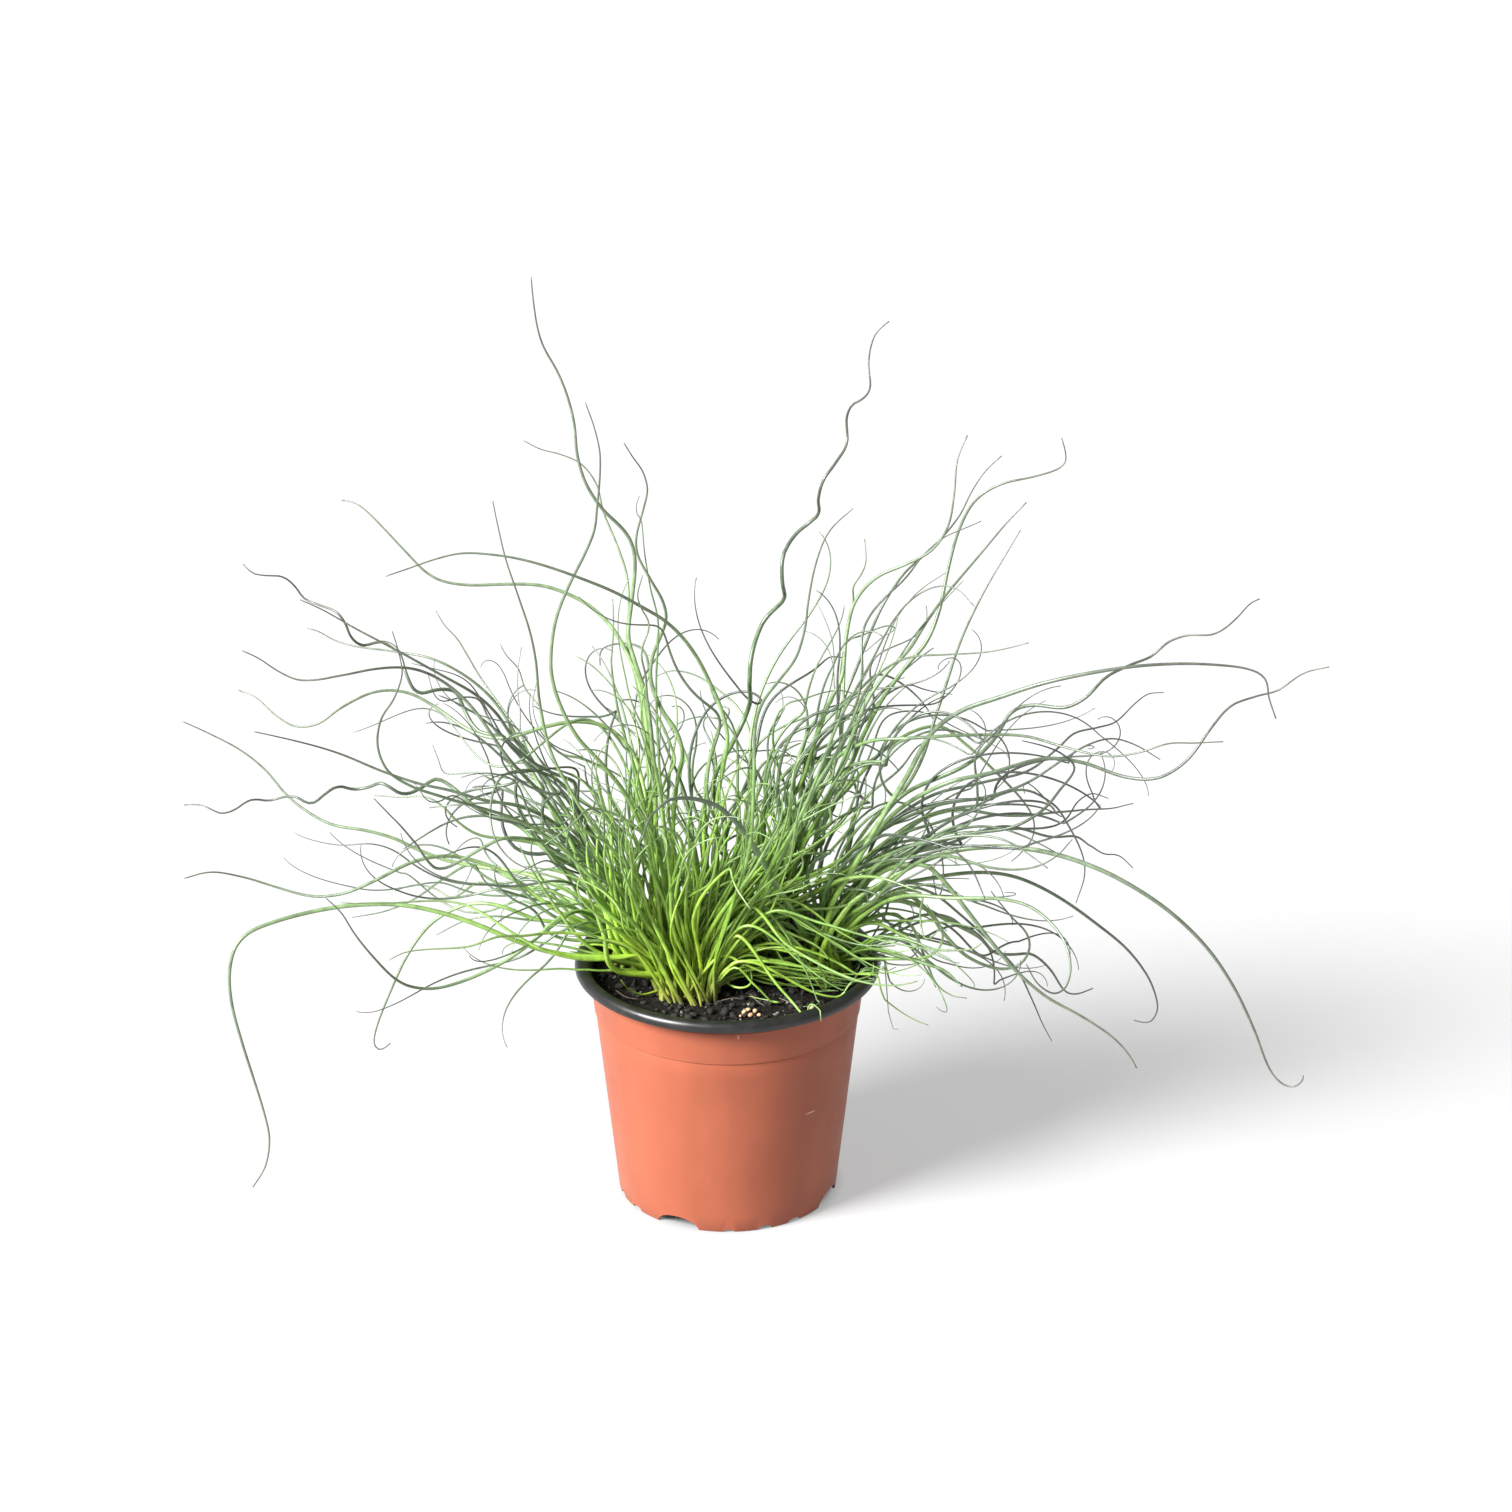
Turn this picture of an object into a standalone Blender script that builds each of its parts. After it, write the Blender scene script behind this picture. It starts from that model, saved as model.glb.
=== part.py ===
"""Potted corkscrew rush: a nursery pot, its soil, five rush clumps and their long curling stems.

Run with: blender --background --python part.py
Metres, +Z up; the plant is seen from -Y. Everything is built about the pot's axis and then moved by
PLACE, so that the origin is on the ground below the middle of the whole plant.
"""

import math

import bmesh
import bpy
import numpy as np
from mathutils import Vector

MM = 0.001
GAP = 0.3 * MM
PLACE = Vector((-6.0, -13.4, 0.0)) * MM

# Pot
ROUND_SIDES = 32
RIM_RADIUS = 60.0 * MM
RIM_HEIGHT = 99.5 * MM
BASE_RADIUS = 43.4 * MM
WALL = 1.0 * MM
TAPER = 0.110
SHOULDER_HEIGHT = 78.0 * MM
SHOULDER_STEP = 0.4 * MM
LIP_UNDERSIDE = 95.4 * MM
LIP_WIDTH = 4.6 * MM
FLOOR_UNDERSIDE = 5.0 * MM
FLOOR_TOP = 6.2 * MM
DRAIN_HOLES = 6
DRAIN_RADIUS = 3.5 * MM
DRAIN_RING = 27.0 * MM
DRAIN_SIDES = 6

# Notches of the foot: the directions of the four wide ones in degrees, then how many degrees past a
# wide one each notch of its quarter lies, with its half width and height in mm.
WIDE_NOTCHES = (-117.0, -22.0, 64.0, 150.0)
FOOT_NOTCHES = ((0.0, 8.9, 4.6), (28.0, 2.0, 1.1), (47.0, 2.8, 1.7), (64.5, 3.0, 1.5))
NOTCH_ARCH_SIDES = 6

# Soil
SOIL_LEVEL = 91.5 * MM
SOIL_RIPPLE = 0.6 * MM
SOIL_RINGS = 3

# Point from which the stems' routes were read: it looks along +Y and down on the pot.
EYE = Vector((11.3, -1828.5, 995.8)) * MM

# Stems
STEM_SIDES = 4
ROUTE_STEP = 2.5 * MM
THIN_STEM = 1.5
THIN_STEM_SIDES = 3
BEND_TOLERANCE = 1.25 * MM
TIP_SHARE = 0.32
CROWDED_HEIGHT = 130.0 * MM
CLEARANCE = 0.45 * MM
PUSH_ROUNDS = 120

# Clumps: name, middle of the crown on the soil in mm, crown radius in mm, lean of its short stems
# (x, y), their reach and rise in mm.
CLUMPS = {
    "front": ((-15.0, -17.0), 9.0, (-0.15, -0.35), 34.0, 74.0),
    "left": ((-34.0, 13.0), 8.5, (-0.75, 0.10), 42.0, 62.0),
    "back": ((-6.0, 33.0), 9.0, (0.05, 0.75), 38.0, 78.0),
    "middle": ((14.0, 12.0), 8.5, (0.35, 0.25), 30.0, 88.0),
    "right": ((38.0, 3.0), 8.5, (0.75, -0.20), 44.0, 62.0),
}

# Long stems. Each has its clump, how far its tip lies behind (+) or in front of (-) the pot's axis,
# its thickness at the base, and the depth and length of one turn of its curl, all in mm. Its points
# are (x, z) in mm on the upright plane through the pot's axis, as seen from EYE, from base to tip.
STEMS = {
    "stem_tall_left": ("front", 15, 2.0, 4, 90, (
        (-25, 105), (-27, 130), (-28, 160), (-29, 190), (-31, 212), (-35, 226), (-37.5, 236),
        (-36, 250), (-34.8, 262), (-35.5, 271), (-39, 279), (-47, 289), (-53, 300), (-56, 311),
        (-57, 322), (-59.5, 332), (-63, 341), (-68, 351), (-70.3, 360), (-71.5, 372), (-72, 381))),
    "stem_tall_left_bow": ("front", -45, 1.8, 4, 120, (
        (-26, 110), (-30, 140), (-38, 166), (-48, 183), (-57, 194.5), (-63, 206), (-66.8, 218),
        (-67.2, 229), (-65, 242), (-60, 255), (-54, 268), (-50, 279), (-48.7, 290), (-47.6, 301),
        (-47.4, 312), (-49.5, 322), (-52.7, 331))),
    "stem_tall_left_thin": ("front", 50, 1.5, 4, 110, (
        (-24, 104), (-26, 135), (-30, 165), (-32, 195), (-35, 218), (-38.3, 233), (-37.3, 250),
        (-38, 262), (-42, 274), (-46.5, 285), (-49, 296), (-54.5, 304.5), (-62, 309), (-70, 312),
        (-76.5, 316.3))),
    "stem_upright_left": ("front", -20, 1.8, 4, 70, (
        (-22, 104), (-22, 130), (-21, 155), (-19, 176), (-17, 188), (-19.5, 198), (-25, 206),
        (-29, 216), (-28.5, 225), (-25.3, 234), (-23, 243), (-24.5, 252), (-29, 261), (-33.7, 270),
        (-34, 277), (-31.5, 286), (-29.8, 294), (-31.5, 302), (-35, 308.5), (-38.3, 315.3))),
    "stem_upright_hooked": ("front", -60, 1.5, 3, 40, (
        (-20, 108), (-22, 135), (-25, 160), (-28, 185), (-30.5, 208), (-31, 220), (-32.5, 230),
        (-29.5, 239), (-32.5, 246), (-33.8, 253), (-31.8, 262))),
    "stem_arch_left_high": ("front", 45, 2.0, 5, 130, (
        (-27, 106), (-28, 135), (-29, 165), (-30, 195), (-32.5, 215), (-37, 227), (-43, 237.5),
        (-52, 246), (-62, 252), (-72, 255.7), (-84, 257.2), (-97, 258), (-107, 260), (-114, 264),
        (-121, 271.5), (-130, 281), (-137, 287.6), (-141.5, 290), (-145.5, 290.3))),
    "stem_arch_left_long": ("middle", -75, 1.8, 5, 140, (
        (-2, 118), (-4, 150), (-3.5, 170), (-1, 184), (0.3, 194), (-2, 204), (-6, 213.5),
        (-11, 224), (-17, 233.5), (-24, 241.5), (-33, 248.5), (-43, 255.5), (-54, 261),
        (-66, 265.5), (-78, 268.3), (-90, 269.2), (-101, 268.6), (-111, 265.5), (-121, 261.5),
        (-130, 258.3))),
    "stem_corkscrew_tall": ("middle", 25, 2.1, 6, 44, (
        (-3, 120), (-5, 140), (-4.5, 160), (-5.3, 174), (-3.5, 183), (1.5, 190), (6.5, 198),
        (9, 207), (8.8, 218), (9.6, 229), (13.5, 238.5), (19.8, 246.5), (22.2, 252), (21.2, 261),
        (21.5, 269.5), (25.5, 275.3), (31.5, 279.8), (35.1, 284.5), (34.8, 293), (36.6, 301.5),
        (41.5, 307.3), (45.6, 312.7), (45.4, 322), (47.2, 329.3), (51, 333.3), (54, 338.5),
        (53.3, 347), (55.6, 355.2), (61, 360.8))),
    "stem_upright_centre": ("front", -90, 1.6, 5, 110, (
        (-4, 100), (3, 125), (9, 150), (10.5, 175), (11, 195), (14, 207), (20, 217.5),
        (26.5, 228.5), (30, 241), (31.2, 251), (34, 264.5), (39, 276.5), (48, 286))),
    "stem_corkscrew_left_high": ("left", 30, 1.9, 5, 42, (
        (-40, 118), (-50, 135), (-60, 150), (-70, 168), (-79, 182), (-83, 191), (-88, 196),
        (-96, 197.2), (-101, 203), (-104.5, 210.5), (-111, 213.3), (-118.5, 214), (-122.5, 221),
        (-126, 229), (-132, 231.3), (-139.5, 230.7), (-143.3, 236), (-145.2, 243), (-149, 247.3),
        (-156, 248), (-161.5, 249.4), (-165, 255), (-169, 260.3), (-175, 262.3), (-180, 263.6),
        (-183.3, 266.5))),
    "stem_left_straight": ("left", -25, 1.7, 4, 100, (
        (-38, 120), (-47, 138), (-58, 156), (-70, 175), (-82, 190), (-89, 202), (-97, 211.5),
        (-108, 220), (-120, 227.8), (-131, 233.5), (-143, 239), (-155, 245.3), (-163, 249))),
    "stem_left_bowed": ("left", 80, 1.6, 5, 90, (
        (-42, 116), (-55, 140), (-66, 160), (-76, 180), (-85, 199), (-93, 212), (-103, 222.5),
        (-114, 228.8), (-127, 230.2), (-141, 230), (-150, 231.8), (-156, 235.5), (-160.5, 237.3))),
    "stem_left_wavy_upper": ("left", -60, 1.7, 6, 80, (
        (-44, 118), (-58, 142), (-71, 166), (-84, 187), (-95, 202), (-107, 212.5), (-121, 221),
        (-134, 223.6), (-147, 222), (-157, 219.2), (-165, 217.8), (-173, 220), (-180, 224),
        (-186, 227))),
    "stem_left_wavy_lower": ("front", 10, 1.9, 7, 85, (
        (-30, 112), (-29, 140), (-31, 165), (-36, 183), (-46, 194.5), (-58, 199.5), (-70, 199.8),
        (-80, 197.5), (-90, 195.7), (-100, 197.3), (-112, 203.5), (-124, 209.5), (-136, 211.2),
        (-148, 207.5), (-157, 202), (-166, 200.7), (-174, 204.3), (-181, 209.3), (-188, 211))),
    "stem_left_sloping": ("left", 70, 1.7, 5, 110, (
        (-40, 112), (-52, 122), (-66, 130), (-80, 135), (-95, 135.7), (-108, 138.5), (-119, 144),
        (-130, 151.5), (-141, 156), (-153, 158.5), (-163, 163.5), (-171, 169.5), (-179, 178.5),
        (-188, 185.7), (-199, 192.5), (-210, 199.5))),
    "stem_left_reaching": ("left", -45, 1.6, 5, 120, (
        (-42, 120), (-54, 140), (-66, 155), (-80, 165), (-95, 169.3), (-107, 173), (-120, 175),
        (-135, 178.7), (-150, 184.3), (-166, 190), (-182, 196))),
    "stem_corkscrew_left": ("left", -15, 1.8, 4, 36, (
        (-38, 112), (-50, 128), (-64, 142), (-78, 152), (-90, 160), (-100, 167.5), (-106, 171),
        (-113, 174), (-119, 171.3), (-125, 170.7), (-130, 173.7), (-134, 175), (-139, 171.3),
        (-145, 169.5), (-151, 172), (-156, 170), (-161, 167), (-167, 169), (-172, 167.3),
        (-178, 164.7), (-185, 166.3), (-191, 163.8), (-196, 163), (-203, 164.8), (-211, 163))),
    "stem_left_zigzag": ("left", -75, 1.8, 4, 70, (
        (-36, 115), (-46, 130), (-60, 142), (-74, 150), (-86, 152.5), (-95, 147.5), (-104, 140),
        (-110, 136), (-114.5, 136), (-118, 141), (-121, 148.5), (-126, 157), (-132, 163),
        (-137, 167.2))),
    "stem_left_arched": ("left", 30, 1.6, 4, 80, (
        (-44, 120), (-56, 135), (-70, 145), (-84, 149.5), (-96, 153), (-104, 159), (-110, 165.5),
        (-117, 168.8), (-127, 167.2), (-137, 167))),
    "stem_left_low_wave": ("left", -30, 1.8, 6, 95, (
        (-38, 106), (-50, 112), (-62, 118), (-74, 125.5), (-86, 133), (-98, 137.8), (-110, 141.3),
        (-123, 140.8), (-137, 135), (-150, 129), (-163, 126), (-177, 127.5), (-190, 131),
        (-202, 134.3), (-212, 133.3))),
    "stem_left_drooping": ("front", -60, 2.0, 4, 150, (
        (-34, 98), (-46, 99), (-60, 100.5), (-72, 103.5), (-84, 108.5), (-98, 114.3), (-112, 118.3),
        (-128, 120.5), (-145, 119.8), (-162, 117.3), (-178, 113.5), (-188, 109.5), (-193.5, 103),
        (-195.8, 92), (-195, 79), (-192, 64), (-188, 46), (-184.8, 30), (-183.3, 17), (-185.5, 4),
        (-191, -6))),
    "stem_left_hanging_loop": ("left", -50, 1.7, 3, 100, (
        (-38, 110), (-50, 118), (-61, 119.5), (-69, 114.5), (-77, 106), (-88, 96.5), (-101, 88.5),
        (-114, 84.2), (-124, 85.3), (-131, 90), (-139, 100.5), (-146, 110.5), (-151, 118.7),
        (-157, 124.3))),
    "stem_left_hooked": ("left", 15, 1.7, 4, 90, (
        (-40, 110), (-52, 114), (-64, 115), (-75, 117), (-86, 121.3), (-96, 122.3), (-106, 119),
        (-117, 111), (-126, 99), (-133, 84.5), (-138, 71.5), (-139.8, 62.5), (-137.5, 58.4),
        (-133.5, 61))),
    "stem_left_low_thin": ("front", -75, 1.4, 4, 70, (
        (-36, 102), (-50, 107), (-64, 108), (-79, 108.5), (-90, 109.7), (-102, 105), (-117, 101.3),
        (-127, 99), (-133.5, 96))),
    "stem_left_thin_hook": ("left", 55, 1.5, 4, 70, (
        (-46, 116), (-60, 123), (-74, 128), (-86, 129.5), (-97, 133), (-103, 129), (-108, 125.8),
        (-114, 128.7), (-122, 129), (-130, 126))),
    "stem_left_ring": ("left", -55, 1.6, 4, 80, (
        (-44, 128), (-52, 150), (-60, 168), (-70, 176), (-79, 178.5), (-87, 177), (-90.8, 170),
        (-91.6, 160), (-89.5, 150.5), (-84, 141.5), (-77, 136), (-70, 133))),
    "stem_thin_upright_left": ("front", -95, 1.5, 5, 100, (
        (-30, 115), (-44, 145), (-58, 168), (-68, 186), (-72, 205), (-73, 226), (-75, 240),
        (-79, 253), (-84, 267), (-87, 280), (-88.5, 289))),
    "stem_thin_wiggly_left": ("back", 95, 1.4, 4, 50, (
        (-18, 125), (-30, 150), (-42, 172), (-55, 183.5), (-64, 188), (-70.5, 196), (-72, 205),
        (-77.5, 212), (-80, 221.5), (-84, 228), (-86.5, 234))),
    "stem_thin_bow_left": ("front", -105, 1.5, 4, 90, (
        (-34, 110), (-52, 134), (-74, 152), (-94, 163), (-110, 170), (-122, 174), (-131, 179),
        (-135, 188), (-133.5, 199), (-128, 209), (-124.3, 221), (-125.3, 231), (-127.5, 239))),
    "stem_back_left": ("back", 120, 1.5, 5, 90, (
        (-24, 128), (-44, 154), (-64, 176), (-78, 193), (-88, 206), (-95, 217), (-99.5, 227),
        (-103, 235), (-107.5, 241.5), (-110.5, 248))),
    "stem_back_arch": ("back", 125, 1.5, 5, 90, (
        (0, 125), (6, 150), (9, 180), (8.5, 197), (4, 208), (-3, 215), (-11, 219.7), (-20, 220.3),
        (-27, 217))),
    "stem_wavy_centre_right": ("middle", 70, 1.7, 5, 60, (
        (12, 125), (24, 150), (36, 168), (42.5, 182), (44.5, 200), (45, 218), (46, 236),
        (48.5, 248), (48.3, 256), (51.5, 263), (53, 268.5), (52.4, 277))),
    "stem_tall_right": ("middle", 20, 2.0, 5, 90, (
        (6, 122), (18, 148), (29, 172), (34, 192), (39, 209), (44.3, 220), (45.8, 234),
        (49, 247.5), (57, 258), (68, 265), (78, 272.5), (84, 283), (86.2, 296), (87.2, 307),
        (91, 316))),
    "stem_tall_right_thin": ("back", 120, 1.6, 5, 100, (
        (8, 130), (24, 157), (37, 182), (44, 204), (50, 221), (55, 237.5), (60.5, 252),
        (68, 263.7), (79, 273), (88, 283), (93, 293), (98, 301.5), (104, 308.5))),
    "stem_arc_right_front": ("front", -110, 1.5, 4, 90, (
        (-2, 100), (14, 130), (32, 170), (46, 205), (55, 226), (63, 241.5), (71, 250), (80, 254.3),
        (88, 253.5), (94.5, 247.3))),
    "stem_tall_right_hook": ("middle", 50, 2.0, 5, 110, (
        (24, 125), (36, 152), (46, 174), (53, 194), (60, 211), (69, 225.5), (76.5, 235),
        (81.3, 247), (84.5, 262), (88.5, 277.5), (94.5, 290), (104, 297.7), (116, 302),
        (125.5, 306), (127.8, 310.5), (126, 318))),
    "stem_right_upright": ("middle", -35, 1.9, 5, 110, (
        (20, 122), (32, 150), (43, 180), (52, 205), (60, 217.5), (70, 228), (77, 240.5),
        (85, 254.5), (95, 269.5), (105, 282.5), (113.5, 291))),
    "stem_right_slanting": ("right", 85, 1.7, 5, 110, (
        (38, 120), (48, 142), (58, 158), (68, 170), (75, 185), (80, 203), (85, 219), (90, 233.5),
        (97.5, 250), (105, 265.5), (111.5, 279.5))),
    "stem_right_level_thin": ("front", -95, 1.5, 4, 100, (
        (4, 102), (20, 138), (34, 172), (46, 196), (55, 214.5), (68, 224.5), (84, 228),
        (100, 230.7), (115.5, 234.3))),
    "stem_arch_right": ("right", -35, 2.2, 5, 150, (
        (40, 118), (50, 140), (60, 158), (70, 175), (79, 193), (90, 203.5), (104, 210.5),
        (120, 217.5), (137, 222), (155, 224.2), (172, 224), (188, 222.3), (201, 219.8),
        (207.5, 215.5), (209, 208), (212, 199.5))),
    "stem_wavy_right_high": ("right", 45, 1.9, 6, 60, (
        (40, 124), (52, 146), (66, 164), (82, 178), (96, 186.5), (104, 193), (110, 201.5),
        (118, 205), (129, 206.7), (137, 212), (145, 219.7), (154, 222.3), (163, 224.7), (170, 232),
        (177, 236.6), (186, 238.8), (194, 244.5), (199.5, 249.2), (203.5, 250.2))),
    "stem_wavy_right": ("right", -5, 1.9, 7, 90, (
        (42, 120), (56, 145), (70, 165), (86, 177.5), (104, 180.7), (122, 182.3), (138, 179.7),
        (153, 176.2), (166, 178), (177, 186.5), (186, 198), (194, 205.5), (204, 208),
        (213, 210.3), (222, 218.5), (231, 223))),
    "stem_right_level": ("middle", -55, 1.7, 5, 90, (
        (18, 125), (28, 155), (40, 180), (54, 192), (68, 195), (84, 195.2), (100, 193.3),
        (116, 191.5), (130, 188.3), (146, 186.7), (158, 189), (170, 192.3), (181, 191),
        (192, 190))),
    "stem_right_bent_down": ("middle", 90, 1.7, 5, 80, (
        (20, 130), (40, 165), (60, 188), (80, 196), (92, 190), (104, 180.5), (113, 170),
        (119, 158), (119.3, 149), (115, 143), (111, 140))),
    "stem_right_waving": ("right", 75, 1.7, 5, 80, (
        (44, 122), (66, 150), (86, 160), (106, 161.5), (124, 163), (136, 162), (149, 161),
        (158, 163.7))),
    "stem_right_stepped": ("right", 120, 1.6, 5, 70, (
        (42, 118), (60, 137), (82, 149), (104, 153.3), (124, 152.2), (135, 153.5), (141, 148),
        (147, 142), (153, 141), (158.5, 137))),
    "stem_right_cupped": ("right", -70, 1.7, 5, 90, (
        (38, 108), (50, 124), (66, 135), (84, 141), (102, 139), (118, 140), (128, 143.5),
        (134.5, 149))),
    "stem_right_drooping": ("right", -55, 2.2, 4, 160, (
        (38, 106), (46, 119), (58, 129), (74, 138), (90, 144.5), (108, 147.2), (126, 145.6),
        (144, 139.5), (160, 130), (175, 117.5), (189, 101.5), (200, 84), (208.5, 66),
        (214.5, 50.5), (219.5, 43.5), (224.5, 41.7), (228, 44), (228.5, 47.5))),
    "stem_right_low_loop": ("right", 45, 1.7, 5, 110, (
        (38, 112), (48, 123), (62, 131), (78, 135), (94, 135.7), (110, 132.7), (126, 125.5),
        (142, 116), (156, 105.5), (165, 93), (169.5, 80), (169.5, 72.5), (166.5, 68.3),
        (161, 69))),
    "stem_right_dark_straight": ("right", -35, 2.1, 3, 140, (
        (38, 108), (50, 124), (64, 136), (76, 140), (84, 134), (94, 120.5), (104, 106),
        (114, 92.5), (126, 80.5), (140, 71.5), (152, 63), (159, 55.5), (162.5, 49.5))),
    "stem_right_curled_under": ("right", 5, 1.8, 3, 80, (
        (42, 106), (56, 120), (68, 127), (78, 121), (86, 109), (95, 98.5), (106, 92.7),
        (114.5, 94), (118.7, 101), (117.5, 109.5), (111, 118), (103, 129))),
    "stem_right_curled_low": ("right", -75, 1.7, 4, 90, (
        (40, 104), (54, 118), (70, 127), (88, 126.3), (106, 123.7), (120, 118.3), (131, 107.5),
        (135, 96.5), (133.5, 87.5), (128.5, 84.8), (122, 89.5), (117.5, 97))),
    "stem_right_pale": ("right", 80, 1.9, 4, 80, (
        (42, 110), (54, 120), (70, 123), (86, 117), (98, 108.5), (105, 99.5), (112, 98.3),
        (120, 99.3), (127, 94.5), (132.5, 86.5), (137, 84.4), (144, 86))),
}

# Short stems of a clump
SPROUT_GRID = 3
SPROUT_THICKNESS = 1.7
SPROUT_TIP_SHARE = 0.4
SPROUT_CURL = 3.0
SPROUT_TURN_LENGTH = 60.0
CROWN_SIDE_HEIGHT = 2.5 * MM
CROWN_DOME_HEIGHT = 3.0 * MM
CROWN_TOP = SOIL_LEVEL + SOIL_RIPPLE + CROWN_SIDE_HEIGHT + CROWN_DOME_HEIGHT
SPROUT_TOLERANCE = 2.0 * MM


def clear_scene():
    for item in list(bpy.data.objects):
        bpy.data.objects.remove(item, do_unlink=True)


def plain_material(name, colour, roughness):
    material = bpy.data.materials.new(name)
    material.use_nodes = True
    shader = material.node_tree.nodes["Principled BSDF"]
    shader.inputs["Base Color"].default_value = (*colour, 1.0)
    shader.inputs["Roughness"].default_value = roughness
    return material


def object_from(bm, name, material):
    """A named object, faces pointing out, made of the finished mesh."""
    bmesh.ops.recalc_face_normals(bm, faces=bm.faces)
    mesh = bpy.data.meshes.new(name)
    bm.to_mesh(mesh)
    bm.free()
    mesh.materials.append(material)
    item = bpy.data.objects.new(name, mesh)
    item.location = PLACE
    bpy.context.scene.collection.objects.link(item)
    return item


def ring_of(bm, radius, height, sides=ROUND_SIDES):
    """Vertices of one level circle about the pot's axis."""
    turn = 2.0 * math.pi / sides
    return [bm.verts.new((radius * math.cos(k * turn), radius * math.sin(k * turn), height))
            for k in range(sides)]


def join_rings(bm, lower, upper):
    count = len(lower)
    for k in range(count):
        bm.faces.new((lower[k], lower[(k + 1) % count], upper[(k + 1) % count], upper[k]))


def wall_radius(height):
    """Outer radius of the pot's tapered wall."""
    step = SHOULDER_STEP if height > SHOULDER_HEIGHT else 0.0
    return BASE_RADIUS + TAPER * height + step


def pot_profile():
    """Radius and height of the pot's section, from the foot up the outside and down the inside."""
    under_lip = LIP_UNDERSIDE + 0.6 * MM
    outside = [
        (BASE_RADIUS, 0.0),
        (wall_radius(SHOULDER_HEIGHT), SHOULDER_HEIGHT),
        (wall_radius(SHOULDER_HEIGHT + 0.8 * MM), SHOULDER_HEIGHT + 0.8 * MM),
        (wall_radius(under_lip), under_lip),
    ]
    lip = [
        (RIM_RADIUS - 1.6 * MM, under_lip),
        (RIM_RADIUS - 0.8 * MM, LIP_UNDERSIDE),
        (RIM_RADIUS, LIP_UNDERSIDE + 1.2 * MM),
        (RIM_RADIUS - 0.6 * MM, RIM_HEIGHT - 1.0 * MM),
        (RIM_RADIUS - 1.9 * MM, RIM_HEIGHT),
        (RIM_RADIUS - LIP_WIDTH + 1.1 * MM, RIM_HEIGHT),
        (RIM_RADIUS - LIP_WIDTH, RIM_HEIGHT - 0.9 * MM),
    ]
    inside = [
        (wall_radius(under_lip) - WALL, under_lip - 1.2 * MM),
        (wall_radius(SHOULDER_HEIGHT + WALL) - WALL, SHOULDER_HEIGHT + WALL),
        (wall_radius(SHOULDER_HEIGHT) - WALL, SHOULDER_HEIGHT - WALL),
        (wall_radius(FLOOR_TOP) - WALL - 0.5 * MM, FLOOR_TOP),
    ]
    return outside + lip + inside


def prism(name, outline, along):
    """A cutter: an outline of points carried straight along a vector."""
    bm = bmesh.new()
    near = [bm.verts.new(point) for point in outline]
    far = [bm.verts.new(point + along) for point in outline]
    join_rings(bm, near, far)
    bm.faces.new(near)
    bm.faces.new(far)
    bmesh.ops.recalc_face_normals(bm, faces=bm.faces)
    mesh = bpy.data.meshes.new(name)
    bm.to_mesh(mesh)
    bm.free()
    cutter = bpy.data.objects.new(name, mesh)
    cutter.location = PLACE
    cutter.hide_render = True
    cutter.display_type = "WIRE"
    bpy.context.scene.collection.objects.link(cutter)
    return cutter


def notch_cutters(sides):
    """Arched cutters that open the foot towards the outside."""
    cutters = []
    for wide in WIDE_NOTCHES:
        for degrees, half_width, height in FOOT_NOTCHES:
            angle = math.radians(wide + degrees)
            outward = Vector((math.cos(angle), math.sin(angle), 0.0))
            sideways = Vector((-outward.y, outward.x, 0.0))
            outline = []
            for k in range(sides):
                turn = 2.0 * math.pi * (k + 0.5) / sides
                outline.append(outward * (BASE_RADIUS - 4.5 * MM) + sideways * half_width * MM * math.cos(turn)
                               + Vector((0.0, 0.0, height * MM * math.sin(turn))))
            cutters.append(prism(f"foot_notch_{len(cutters)}", outline, outward * 8.0 * MM))
    return cutters


def drain_cutters(sides):
    """Upright round cutters for the drain holes in the floor."""
    cutters = []
    for hole in range(DRAIN_HOLES):
        angle = 2.0 * math.pi * hole / DRAIN_HOLES
        middle = Vector((math.cos(angle), math.sin(angle), 0.0)) * DRAIN_RING
        outline = []
        for k in range(sides):
            turn = 2.0 * math.pi * k / sides
            outline.append(middle + Vector((math.cos(turn), math.sin(turn), 0.0)) * DRAIN_RADIUS
                           + Vector((0.0, 0.0, FLOOR_UNDERSIDE - 1.0 * MM)))
        cutters.append(prism(f"drain_hole_{hole}", outline, Vector((0.0, 0.0, 3.0 * MM))))
    return cutters


def make_pot():
    bm = bmesh.new()
    rings = [ring_of(bm, radius, height) for radius, height in pot_profile()]
    for lower, upper in zip(rings, rings[1:]):
        join_rings(bm, lower, upper)
    bm.faces.new(rings[-1])
    foot_inner = BASE_RADIUS - WALL
    skirt = ring_of(bm, foot_inner, 0.0)
    floor_edge = ring_of(bm, foot_inner + 0.2 * MM, FLOOR_UNDERSIDE)
    join_rings(bm, rings[0], skirt)
    join_rings(bm, skirt, floor_edge)
    bm.faces.new(floor_edge)
    pot = object_from(bm, "pot", plain_material("terracotta_plastic", (0.60, 0.22, 0.14), 0.45))
    for cutter in notch_cutters(NOTCH_ARCH_SIDES) + drain_cutters(DRAIN_SIDES):
        boolean = pot.modifiers.new(cutter.name, "BOOLEAN")
        boolean.operation = "DIFFERENCE"
        boolean.object = cutter


def soil_height(x, y):
    """Height of the soil's gently uneven top."""
    ripple = math.sin(x / (7.0 * MM) + 1.0) * math.cos(y / (8.0 * MM)) + math.sin((x - y) / (11.0 * MM))
    return SOIL_LEVEL + 0.5 * SOIL_RIPPLE * ripple


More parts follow.
